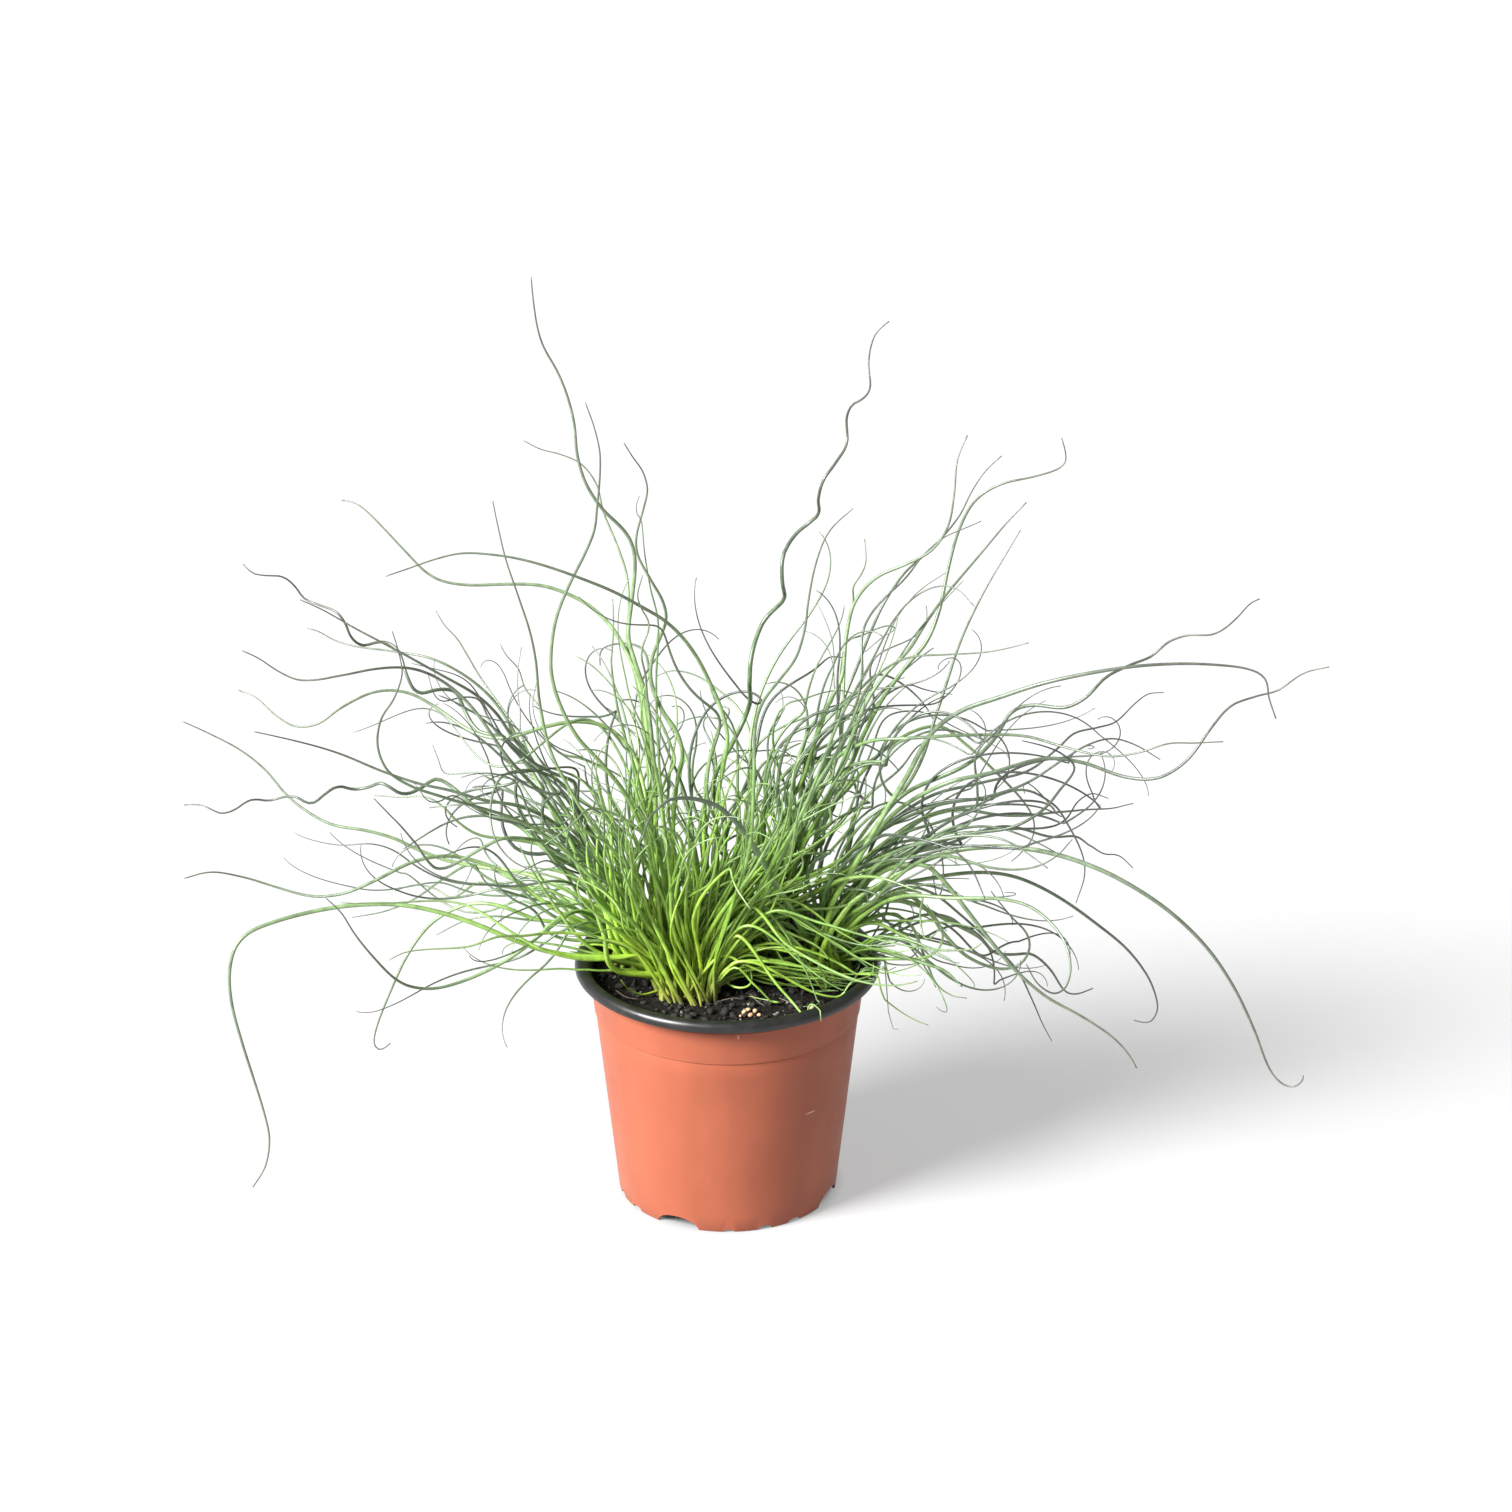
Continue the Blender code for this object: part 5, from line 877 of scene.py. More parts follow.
def rise_over_surfaces(points, radii, owner, way_mark, loose):
    """How far points must move to clear the soil, the crowns, the rim and the ground."""
    first = np.flatnonzero(owner[:-1] == owner[1:])
    length = np.linalg.norm(points[first + 1] - points[first], axis=1)
    rooted = way_mark[first] == 0.0
    move = np.zeros_like(points)
    for share in (0.0, 0.25, 0.5, 0.75, 1.0):
        place = points[first] * (1.0 - share) + points[first + 1] * share
        wide = radii[first] * (1.0 - share) + radii[first + 1] * share
        free = loose[first] & ~(rooted & (share * length < 5.0 * MM))
        lift = np.where(free, surface_under(place) + wide + 0.5 * MM - place[:, 2], 0.0)
        np.maximum.at(move[:, 2], first, lift)
        np.maximum.at(move[:, 2], first + 1, lift)
        for (cx, cy), radius, *_ in CLUMPS.values():
            offset = place[:, :2] - np.array([cx, cy]) * MM
            away = np.maximum(np.linalg.norm(offset, axis=1), 1e-6)
            lack = radius * MM + wide + 0.5 * MM - away
            low = (lack > 0.0) & (place[:, 2] < CROWN_TOP + wide) & loose[first]
            shift = offset * (lack / away)[:, None]
            move[first[low] + 1, :2] += shift[low] * 0.5
            low &= ~rooted
            move[first[low], :2] += shift[low] * 0.5
    return move


def part_routes(routes, radii, fixed):
    """Move touching stems apart, mostly along the line of sight, and clear of what they pass over."""
    names = list(routes)
    owner = np.concatenate([np.full(len(routes[name]), k) for k, name in enumerate(names)])
    points = np.vstack([routes[name] for name in names])
    widths = np.concatenate([radii[name] for name in names])
    way_mark = np.concatenate([run_lengths(routes[name]) for name in names])
    loose = np.concatenate([np.full(len(routes[name]), name not in fixed) for name in names])
    roots = np.flatnonzero(way_mark == 0.0)
    inner = np.flatnonzero((owner[1:-1] == owner[:-2]) & (owner[1:-1] == owner[2:])) + 1
    for _ in range(PUSH_ROUNDS):
        move, touching = push_apart(points, widths, owner, way_mark)
        lift = rise_over_surfaces(points, widths, owner, way_mark, loose)
        if not touching and not lift.any():
            break
        smooth = move.copy()
        smooth[inner] = 0.7 * move[inner] + 0.15 * (move[inner - 1] + move[inner + 1])
        smooth[roots] = 0.0
        lift[roots] = 0.0
        points = points + smooth + lift
    ends = np.cumsum([len(routes[name]) for name in names])[:-1]
    return dict(zip(names, np.split(points, ends)))


def bend_marks(route, tolerance):
    """Which points of a route its bends need (Ramer, Douglas and Peucker's rule)."""
    start, end = route[0], route[-1]
    chord = end - start
    offset = route - start
    along = np.clip(offset @ chord / max(chord @ chord, 1e-12), 0.0, 1.0)
    stray = np.linalg.norm(offset - np.outer(along, chord), axis=1)
    worst = int(np.argmax(stray))
    if stray[worst] <= tolerance or len(route) < 3:
        return [0, len(route) - 1]
    first = bend_marks(route[:worst + 1], tolerance)
    return first[:-1] + [worst + mark for mark in bend_marks(route[worst:], tolerance)]


def taper(route, width, tip_share):
    """Radius at each point of a stem: nearly even, then thinner and thinner towards the tip."""
    way = run_lengths(route)
    share = way / way[-1]
    return 0.5 * width * MM * (1.0 - (1.0 - tip_share) * share ** TAPER_POWER)


# Stems, finely made
def mesh_object(name, points, faces, material):
    """A smooth object built about the pot's axis from arrays of points and faces, and moved to its place."""
    mesh = bpy.data.meshes.new(name)
    placed = np.asarray(points, dtype=float) + np.array(PLACE)
    mesh.from_pydata(placed.tolist(), [], faces)
    mesh.update()
    mesh.polygons.foreach_set("use_smooth", [True] * len(mesh.polygons))
    mesh.materials.append(material)
    item = bpy.data.objects.new(name, mesh)
    bpy.context.scene.collection.objects.link(item)
    return item


def float_attribute(item, name, values):
    attribute = item.data.attributes.new(name, "FLOAT", "POINT")
    attribute.data.foreach_set("value", np.asarray(values, dtype=np.float32))


def angles_round(sides):
    return 2.0 * math.pi * np.arange(sides) / sides


def ring_faces(rows, sides):
    """Faces between rows of points, each once round, and over the first and the last row."""
    faces = []
    for k in range(rows - 1):
        low, high = k * sides, (k + 1) * sides
        for j in range(sides):
            following = (j + 1) % sides
            faces.append((low + j, low + following, high + following, high + j))
    faces.append(tuple(range(sides - 1, -1, -1)))
    faces.append(tuple(range((rows - 1) * sides, rows * sides)))
    return faces


def tube(route, radii, sides):
    """Points and faces of a round tube that follows a route, closed at both ends."""
    ahead = np.gradient(route, axis=0)
    ahead /= np.maximum(np.linalg.norm(ahead, axis=1), 1e-12)[:, None]
    arm = np.cross(ahead[0], (0.0, 1.0, 0.1))
    arms = np.empty_like(route)
    for k, heading in enumerate(ahead):
        arm = arm - heading * (arm @ heading)
        arm = arm / max(np.linalg.norm(arm), 1e-12)
        arms[k] = arm
    others = np.cross(ahead, arms)
    angles = angles_round(sides)
    around = (np.cos(angles)[None, :, None] * arms[:, None, :]
              + np.sin(angles)[None, :, None] * others[:, None, :])
    points = (route[:, None, :] + radii[:, None, None] * around).reshape(-1, 3)
    return points, ring_faces(len(route), sides)


def stems_object(name, stems, sides, material):
    """One object of many stems, each a route, its radii, its shade, its tip's age and its ripening."""
    points, faces, along, shades, ages = [], [], [], [], []
    count = 0
    for route, radii, shade, age, ripening in stems:
        stem_points, stem_faces = tube(route, radii, sides)
        points.append(stem_points)
        faces.extend(tuple(corner + count for corner in face) for face in stem_faces)
        way = run_lengths(route)
        along.append(np.repeat(ripening * way / LONGEST_STEM, sides))
        shades.append(np.full(len(stem_points), shade))
        ages.append(np.repeat((way / way[-1]) ** 2 * age, sides))
        count += len(stem_points)
    item = mesh_object(name, np.vstack(points), faces, material)
    float_attribute(item, "along", np.concatenate(along))
    float_attribute(item, "shade", np.concatenate(shades))
    float_attribute(item, "age", np.concatenate(ages))
    return item


def into_soil(route):
    """The route with its foot carried down into the soil."""
    foot = route[0] - np.array([0.0, 0.0, ROOT_DEPTH])
    return np.vstack([foot, route])


def planted(route, radii):
    """A stem's route and radii with its foot carried down into the soil."""
    return into_soil(route), np.append(radii[:1], radii)


def lifted(route, clearance):
    """Heights of the route, raised over the soil and the rim apart from its foot."""
    lowest = surface_under(route) + clearance
    return np.where(run_lengths(route) > FOOT_STRETCH, np.maximum(route[:, 2], lowest), route[:, 2])


def parted_routes():
    """Fine routes of the long stems and of the crowns' short ones, moved clear of each other."""
    fine = {name: stem_route(name, root) for name, root in stem_roots().items()}
    tolerance = {name: BEND_TOLERANCE for name in fine}
    taper_of = {name: (STEMS[name][2], TIP_SHARE) for name in fine}
    for clump in CLUMPS:
        for place, route in clump_sprouts(clump).items():
            fine[clump, place] = route
            tolerance[clump, place] = SPROUT_TOLERANCE
            taper_of[clump, place] = (SPROUT_THICKNESS, SPROUT_TIP_SHARE)
    marks = {name: bend_marks(route, tolerance[name]) for name, route in fine.items()}
    bends = {name: fine[name][marks[name]] for name in fine}
    radii = {name: taper(bends[name], *taper_of[name]) for name in fine}
    parted = part_routes(bends, radii, {name for name in fine if name not in STEMS})
    for name, route in fine.items():
        way = run_lengths(route)
        moved = parted[name] - route[marks[name]]
        shift = [np.interp(way, way[marks[name]], moved[:, axis]) for axis in range(3)]
        fine[name] = route + np.stack(shift, axis=1)
    return fine


def fine_taper(route, width, tip_share):
    """Radius along a fine stem: a little thicker at the foot, nearly even, then drawn out to a thin tip."""
    way = run_lengths(route)
    share = way / way[-1]
    foot = FOOT_SWELL * np.exp(-way / FOOT_SWELL_LENGTH)
    return 0.5 * width * MM * ((1.0 - (1.0 - tip_share) * share ** TAPER_POWER) + foot)


def long_stem_piece(name, route, chance, material):
    clump, _, width, *_ = STEMS[name]
    smooth = into_soil(spaced(route, FINE_STEP))
    radii = fine_taper(smooth, width, LONG_STEM_TIP_SHARE)
    ripening = max(1.0, LONG_STEM_RIPENING * RIPENING[clump])
    stem = (smooth, radii, chance.uniform(*LONG_STEM_SHADES), 1.0, ripening)
    return stems_object(name.replace("stem", "long_stem"), [stem], FINE_SIDES, material)


def has_companion(name):
    return name not in LONE_STEMS and STEMS[name][0] not in LONE_CLUMPS


def companion(route, width, chance):
    """A thinner stem that starts beside a long one, follows it in the bundle, drifts off and ends early."""
    way = run_lengths(route)
    kept = route[way <= way[-1] * chance.uniform(*COMPANION_END)]
    way = run_lengths(kept)
    drift = chance.normal(size=3) * np.array([1.0, 1.0, 0.8])
    drift /= np.linalg.norm(drift)
    side = chance.normal(size=3)
    side /= np.linalg.norm(side)
    across = np.cross(drift, side)
    apart = chance.uniform(*COMPANION_GAP) + chance.uniform(*COMPANION_DRIFT) * (way / way[-1]) ** 1.6
    wave_length = chance.uniform(*COMPANION_WAVE_LENGTH) * MM
    wave = chance.uniform(*COMPANION_WAVE) * np.clip(way / WAVE_SWELL_LENGTH, 0.0, 1.0)
    turn = 2.0 * math.pi * way / wave_length + chance.uniform(*ANY_TURN)
    placed = kept + MM * (apart[:, None] * drift + (wave * np.sin(turn))[:, None] * side
                          + (wave * np.cos(turn))[:, None] * across)
    root = kept[0] + np.array([*(chance.normal(size=2) * COMPANION_ROOT_SPREAD * MM), 0.0])
    placed = placed + np.exp(-way / COMPANION_ROOT_LENGTH)[:, None] * (root - placed[0])
    placed[:, 2] = np.maximum(placed[:, 2], surface_under(placed) + 1.2 * MM)
    placed[0, 2] = soil_height(placed[0, 0], placed[0, 1])
    return placed, fine_taper(placed, width * chance.uniform(*COMPANION_WIDTH), COMPANION_TIP_SHARE)


def hooked(route, turn, chance):
    """The route with a curled end: it goes on from its tip and bends round by a turn."""
    count = max(int(chance.uniform(*HOOK_LENGTH) * MM / FINE_STEP), 3)
    heading = Vector(route[-1] - route[-4]).normalized()
    axis = Vector((chance.normal() * 0.5, 1.0 if chance.uniform() < 0.5 else -1.0, chance.normal() * 0.5))
    axis = (axis - heading * axis.dot(heading)).normalized()
    rise = chance.uniform(*HOOK_RISE)
    place = Vector(route[-1])
    added = []
    for k in range(count):
        heading = Quaternion(axis, 2.0 * turn * (k + 1) / count / count) @ heading
        place = place + (heading + axis * rise).normalized() * FINE_STEP
        added.append(place)
    return np.vstack([route, added])


def short_stem(swathe, chance):
    """A short stem of a swathe: up out of the soil, past one place, to its tip and round."""
    clump, (dx, dy), root_spread, via, tip, spread, depths, _, widths, shades, curl, hook = swathe
    (cx, cy) = CLUMPS[clump][0]
    angle = chance.uniform(0.0, 2.0 * math.pi)
    out = root_spread * math.sqrt(chance.uniform())
    root = np.array([cx + dx + out * math.cos(angle), cy + dy + out * math.sin(angle)]) * MM
    base = np.array([*root, soil_height(*root)])
    stray = np.clip(chance.normal(size=2), -SHORT_STRAY, SHORT_STRAY)
    depth_stray = np.clip(chance.normal(), -SHORT_DEPTH_STRAY, SHORT_DEPTH_STRAY)
    tip_depth = (depths[0] + depths[1] * depth_stray) * MM
    tip_x, tip_z = (np.array(tip) + stray * spread) * MM
    via_x, via_z = (np.array(via) + (0.55 * stray + 0.25 * chance.normal(size=2)) * spread) * MM
    end = np.array(along_sight(tip_x, tip_z, tip_depth))
    middle = np.array(along_sight(via_x, via_z, 0.5 * (tip_depth + root[1])))
    first = base + 0.22 * (middle - base) + np.array([0.0, 0.0, 0.16]) * np.linalg.norm(middle - base)
    route = evenly([base, first, middle, end], FINE_STEP)
    way = run_lengths(route)
    swell = curl * MM * np.clip(way / WAVE_SWELL_LENGTH, 0.0, 1.4) * chance.uniform(*SHORT_WAVE)
    spin = 2.0 * math.pi * way / (chance.uniform(*SHORT_WAVE_LENGTH) * MM) + chance.uniform(*ANY_TURN)
    side = np.array([chance.normal() * 0.3 + 1.0, chance.normal() * 0.4, chance.normal() * 0.3])
    other = np.array([chance.normal() * 0.3, chance.normal() * 0.5, chance.normal() * 0.3 + 1.0])
    route = route + np.outer(swell * np.sin(spin), side) + np.outer(swell * np.cos(spin), other)
    route = hooked(route, math.radians(hook) * chance.uniform(*HOOK_TURN), chance)
    route[:, 2] = lifted(route, 1.0 * MM)
    route = spaced(route, FINE_STEP)
    return route, fine_taper(route, chance.uniform(*widths), SHORT_TIP_SHARE), chance.uniform(*shades)


def tuft_piece(clump, routes, chance, material):
    """All the short stems of a clump, and the thinner ones that go with its long stems."""
    ripening = RIPENING[clump]
    stems = []
    for name, route in routes.items():
        way = spaced(route, FINE_STEP)
        if name in STEMS:
            if STEMS[name][0] == clump and has_companion(name):
                beside = planted(*companion(way, STEMS[name][2], chance))
                stems.append((*beside, chance.uniform(), chance.uniform(*COMPANION_AGES), ripening))
        elif name[0] == clump:
            way[0, 2] = SOIL_LEVEL
            radii = np.append(SPROUT_FOOT_RADIUS, fine_taper(way, SPROUT_THICKNESS, SPROUT_FINE_TIP_SHARE))
            stems.append((into_soil(way), radii, chance.uniform(), SPROUT_AGE, ripening))
    for swathe in SWATHES:
        for _ in range(swathe[7] if swathe[0] == clump else 0):
            way, radii, shade = short_stem(swathe, chance)
            own_ripening = ripening * chance.uniform(*SHORT_RIPENING)
            stems.append((*planted(way, radii), shade, chance.uniform(*SHORT_AGES), own_ripening))
    return stems_object(f"tuft_{clump}", stems, TUFT_SIDES, material)


def small_stems(chance, material):
    """The smaller listed stems, as one object."""
    stems = []
    for clump, tip_depth, width, shade, points in SMALL_STEMS:
        (cx, cy), radius = CLUMPS[clump][:2]
        out = SMALL_STEM_RING * radius
        turn = chance.uniform(0.0, 2.0 * math.pi)
        root = np.array([cx + out * math.cos(turn), cy + out * math.sin(turn)]) * MM
        shares = (1.0 + np.arange(len(points))) / len(points)
        seen = [along_sight(x * MM, z * MM, root[1] + (tip_depth * MM - root[1]) * share ** DEPTH_POWER)
                for (x, z), share in zip(points, shares)]
        route = evenly([(*root, soil_height(*root))] + seen, FINE_STEP)
        route[:, 2] = lifted(route, 0.5 * width * MM + GAP)
        radii = fine_taper(route, width, SHORT_TIP_SHARE)
        stems.append((*planted(route, radii), shade, chance.uniform(*SMALL_STEM_AGES),
                      SMALL_STEM_RIPENING * RIPENING[clump]))
    return stems_object("small_stems", stems, TUFT_SIDES, material)


# Materials
def shader_of(material):
    return material.node_tree.nodes["Principled BSDF"]


def new_material(name, colour, roughness):
    material = bpy.data.materials.new(name)
    material.use_nodes = True
    shader = shader_of(material)
    shader.inputs["Base Color"].default_value = (*colour, 1.0)
    shader.inputs["Roughness"].default_value = roughness
    return material


def add_node(material, kind, **settings):
    node = material.node_tree.nodes.new(kind)
    for key, value in settings.items():
        setattr(node, key, value)
    return node


def join_up(material, source, target):
    material.node_tree.links.new(source, target)


def ramp(material, source, *stops):
    """A colour ramp fed by a value; each stop is a position and a colour, or a level of grey."""
    node = add_node(material, "ShaderNodeValToRGB")
    elements = node.color_ramp.elements
    while len(elements) < len(stops):
        elements.new(0.5)
    for element, (position, colour) in zip(elements, stops):
        element.position = position
        element.color = (*colour, 1.0) if isinstance(colour, tuple) else (colour, colour, colour, 1.0)
    join_up(material, source, node.inputs["Fac"])
    return node.outputs["Color"]


def noise_value(material, scale, detail=3.0, stretch=(1.0, 1.0, 1.0)):
    """A noise value in the object's own coordinates."""
    place = add_node(material, "ShaderNodeTexCoord")
    mapping = add_node(material, "ShaderNodeMapping")
    mapping.inputs["Scale"].default_value = stretch
    texture = add_node(material, "ShaderNodeTexNoise")
    texture.inputs["Scale"].default_value = scale
    texture.inputs["Detail"].default_value = detail
    join_up(material, place.outputs["Object"], mapping.inputs["Vector"])
    join_up(material, mapping.outputs["Vector"], texture.inputs["Vector"])
    return texture.outputs["Fac"]


def blended(material, first, second, factor, mode="MIX"):
    """Two colours mixed by a factor, each a socket or a constant, on the mix node's colour sockets."""
    mix = add_node(material, "ShaderNodeMix", data_type="RGBA", blend_type=mode)
    for index, value in ((6, first), (7, second), (0, factor)):
        if hasattr(value, "is_linked"):
            join_up(material, value, mix.inputs[index])
        else:
            mix.inputs[index].default_value = (*value, 1.0) if isinstance(value, tuple) else value
    return mix.outputs[2]


def clouded(material, colour, value, *stops):
    """A colour made darker and lighter by a value, through a ramp of levels of grey."""
    return blended(material, colour, ramp(material, value, *stops), 1.0, "MULTIPLY")


def add_bump(material, height, distance, strength):
    bump = add_node(material, "ShaderNodeBump")
    bump.inputs["Distance"].default_value = distance
    bump.inputs["Strength"].default_value = strength
    join_up(material, height, bump.inputs["Height"])
    join_up(material, bump.outputs["Normal"], shader_of(material).inputs["Normal"])


def dress(material, colour, roughness=None, specular=0.5):
    """Feed the shader its colour, and its roughness where one is given, and set its specular level."""
    shader = shader_of(material)
    join_up(material, colour, shader.inputs["Base Color"])
    if roughness is not None:
        join_up(material, roughness, shader.inputs["Roughness"])
    shader.inputs["Specular IOR Level"].default_value = specular


def scaled(material, value, factor):
    node = add_node(material, "ShaderNodeMath", operation="MULTIPLY")
    join_up(material, value, node.inputs[0])
    node.inputs[1].default_value = factor
    return node.outputs["Value"]


def attribute_value(material, name):
    node = add_node(material, "ShaderNodeAttribute", attribute_name=name)
    return node.outputs["Fac"]


def rush_material():
    """Living stem: pale at the foot, lime then fresh green, and dark grey-green towards the tip."""
    material = new_material("rush", (0.16, 0.30, 0.05), 0.36)
    along = attribute_value(material, "along")
    shade = attribute_value(material, "shade")
    age = attribute_value(material, "age")
    # Stops 0.34 and 0.58: the stem's own grey-green, made paler and greyer as a painted silvery sheen.
    young = ramp(material, along,
                 (0.00, (0.30, 0.27, 0.075)),
                 (0.05, (0.34, 0.50, 0.035)),
                 (0.18, (0.30, 0.51, 0.060)),
                 (0.34, (0.27, 0.42, 0.150)),
                 (0.58, (0.19, 0.265, 0.155)),
                 (1.00, (0.085, 0.105, 0.083)))
    dark = ramp(material, along,
                (0.00, (0.20, 0.17, 0.060)),
                (0.06, (0.17, 0.31, 0.035)),
                (0.20, (0.115, 0.23, 0.050)),
                (0.40, (0.080, 0.140, 0.062)),
                (0.65, (0.052, 0.075, 0.052)),
                (1.00, (0.040, 0.048, 0.040)))
    colour = blended(material, young, dark, shade)
    colour = blended(material, colour, (0.10, 0.105, 0.075), scaled(material, age, 0.55))
    mottle = noise_value(material, 260.0)
    colour = clouded(material, colour, mottle, (0.30, 0.72), (0.70, 1.22))
    dress(material, colour, ramp(material, mottle, (0.25, 0.28), (0.75, 0.46)), 0.75)
    shader_of(material).inputs["Subsurface Weight"].default_value = 0.12
    shader_of(material).inputs["Subsurface Radius"].default_value = (0.0006, 0.0010, 0.0003)
    add_bump(material, noise_value(material, 900.0), 0.0002, 0.25)
    return material


def terracotta_material():
    """Moulded terracotta-coloured plastic with faint clouding, flow marks and two small scuffs."""
    material = new_material("terracotta_plastic", TERRACOTTA, 0.42)
    colour = clouded(material, TERRACOTTA, noise_value(material, 34.0, 4.0), (0.32, 0.93), (0.68, 1.06))
    flow = noise_value(material, 90.0, 2.0, (1.0, 1.0, 0.12))
    colour = clouded(material, colour, flow, (0.38, 0.965), (0.62, 1.02))
    for place, size in SCUFFS:
        colour = blended(material, colour, SCUFF_COLOUR, scuff(material, place, size))
    rough = ramp(material, noise_value(material, 120.0, 4.0), (0.30, 0.38), (0.70, 0.50))
    dress(material, colour, rough, 0.25)
    add_bump(material, noise_value(material, 420.0, 3.0), 0.0004, 0.10)
    return material


def scuff(material, place, size):
    """How strongly a small scuff covers each point: most inside its ellipsoid, fading out round it."""
    coordinates = add_node(material, "ShaderNodeTexCoord")
    mapping = add_node(material, "ShaderNodeMapping", vector_type="TEXTURE")
    mapping.inputs["Location"].default_value = Vector(place) * MM + PLACE
    mapping.inputs["Scale"].default_value = Vector(size) * MM
    length = add_node(material, "ShaderNodeVectorMath", operation="LENGTH")
    join_up(material, coordinates.outputs["Object"], mapping.inputs["Vector"])
    join_up(material, mapping.outputs["Vector"], length.inputs[0])
    return ramp(material, length.outputs["Value"], (0.55, 0.8), (1.0, 0.0))


def black_material():
    """Black moulded plastic of the pot's inside and rim: smooth on the lip, dusty here and there."""
    material = new_material("black_plastic", BLACK_PLASTIC, 0.30)
    dust = ramp(material, noise_value(material, 150.0, 5.0), (0.45, 0.008), (0.80, (0.022, 0.020, 0.019)))
    dress(material, dust, ramp(material, noise_value(material, 240.0, 4.0), (0.30, 0.30), (0.75, 0.42)))
    add_bump(material, noise_value(material, 500.0, 3.0), 0.0002, 0.05)
    return material


def soil_material():
    """Damp black peat with paler crumbs of bark and grit."""
    material = new_material("potting_mix", (0.020, 0.016, 0.013), 0.9)
    fine = noise_value(material, 700.0, 5.0)
    colour = ramp(material, fine,
                  (0.30, (0.003, 0.0025, 0.002)),
                  (0.55, (0.009, 0.007, 0.006)),
                  (0.72, (0.026, 0.021, 0.017)),
                  (0.86, (0.070, 0.060, 0.050)))
    dress(material, colour, specular=0.15)
    add_bump(material, fine, 0.0012, 0.9)
    return material


def bit_material(name, light, dark, roughness):
    """A mottled natural material between two colours."""
    material = new_material(name, light, roughness)
    dress(material, ramp(material, noise_value(material, 900.0, 4.0), (0.30, dark), (0.70, light)))
    add_bump(material, noise_value(material, 1400.0, 4.0), 0.0003, 0.5)
    return material


# Pot, potting mix and the bits on it
def rounded(profile, step):
    """The profile with more points along its long runs."""
    fine = []
    for (r0, z0), (r1, z1) in zip(profile, profile[1:]):
        count = max(int(math.hypot(r1 - r0, z1 - z0) / step), 1)
        fine.extend((r0 + (r1 - r0) * k / count, z0 + (z1 - z0) * k / count) for k in range(count))
    fine.append(profile[-1])
    return fine


def fine_pot_profile():
    """The pot's section, from the middle of its underside round the outside to the middle of its floor."""
    inside_foot = BASE_RADIUS - WALL
    under_lip = LIP_UNDERSIDE + 0.6 * MM
    underside = [
        (CAP_RADIUS, FLOOR_UNDERSIDE),
        (inside_foot - 0.3 * MM, FLOOR_UNDERSIDE),
        (inside_foot, FLOOR_UNDERSIDE - 0.3 * MM),
        (inside_foot, 0.2 * MM),
        (inside_foot + 0.2 * MM, 0.0),
    ]
    outside = [
        (BASE_RADIUS - 0.2 * MM, 0.0),
        (BASE_RADIUS, 0.25 * MM),
        (wall_radius(SHOULDER_HEIGHT - 0.3 * MM), SHOULDER_HEIGHT - 0.3 * MM),
        (wall_radius(SHOULDER_HEIGHT) - 0.12 * MM, SHOULDER_HEIGHT),
        (wall_radius(SHOULDER_HEIGHT + 0.6 * MM), SHOULDER_HEIGHT + 0.6 * MM),
        (wall_radius(COLLAR_LINE - 0.3 * MM), COLLAR_LINE - 0.3 * MM),
        (wall_radius(COLLAR_LINE) - 0.3 * MM, COLLAR_LINE),
        (wall_radius(COLLAR_LINE + 0.3 * MM), COLLAR_LINE + 0.3 * MM),
        (wall_radius(under_lip), under_lip),
    ]
    lip = [
        (RIM_RADIUS - 1.6 * MM, under_lip),
        (RIM_RADIUS - 1.25 * MM, LIP_UNDERSIDE + 0.15 * MM),
        (RIM_RADIUS - 0.8 * MM, LIP_UNDERSIDE),
        (RIM_RADIUS - 0.3 * MM, LIP_UNDERSIDE + 0.2 * MM),
        (RIM_RADIUS - 0.05 * MM, LIP_UNDERSIDE + 0.7 * MM),
        (RIM_RADIUS, LIP_UNDERSIDE + 1.4 * MM),
        (RIM_RADIUS - 0.15 * MM, RIM_HEIGHT - 1.7 * MM),
        (RIM_RADIUS - 0.6 * MM, RIM_HEIGHT - 0.9 * MM),
        (RIM_RADIUS - 1.2 * MM, RIM_HEIGHT - 0.3 * MM),
        (RIM_RADIUS - 2.0 * MM, RIM_HEIGHT),
        (RIM_RADIUS - LIP_WIDTH + 1.5 * MM, RIM_HEIGHT),
        (RIM_RADIUS - LIP_WIDTH + 0.8 * MM, RIM_HEIGHT - 0.15 * MM),
        (RIM_RADIUS - LIP_WIDTH + 0.2 * MM, RIM_HEIGHT - 0.6 * MM),
        (RIM_RADIUS - LIP_WIDTH, RIM_HEIGHT - 1.2 * MM),
    ]
    inside = [
        (wall_radius(under_lip) - WALL + 0.2 * MM, under_lip - 0.7 * MM),
        (wall_radius(under_lip) - WALL, under_lip - 1.5 * MM),
        (wall_radius(SHOULDER_HEIGHT + WALL) - WALL, SHOULDER_HEIGHT + WALL),
        (wall_radius(SHOULDER_HEIGHT) - WALL, SHOULDER_HEIGHT - WALL),
        (wall_radius(FLOOR_TOP) - WALL - 0.2 * MM, FLOOR_TOP + 0.4 * MM),
        (wall_radius(FLOOR_TOP) - WALL - 0.6 * MM, FLOOR_TOP),
        (CAP_RADIUS, FLOOR_TOP),
    ]
    return underside, outside, lip + inside


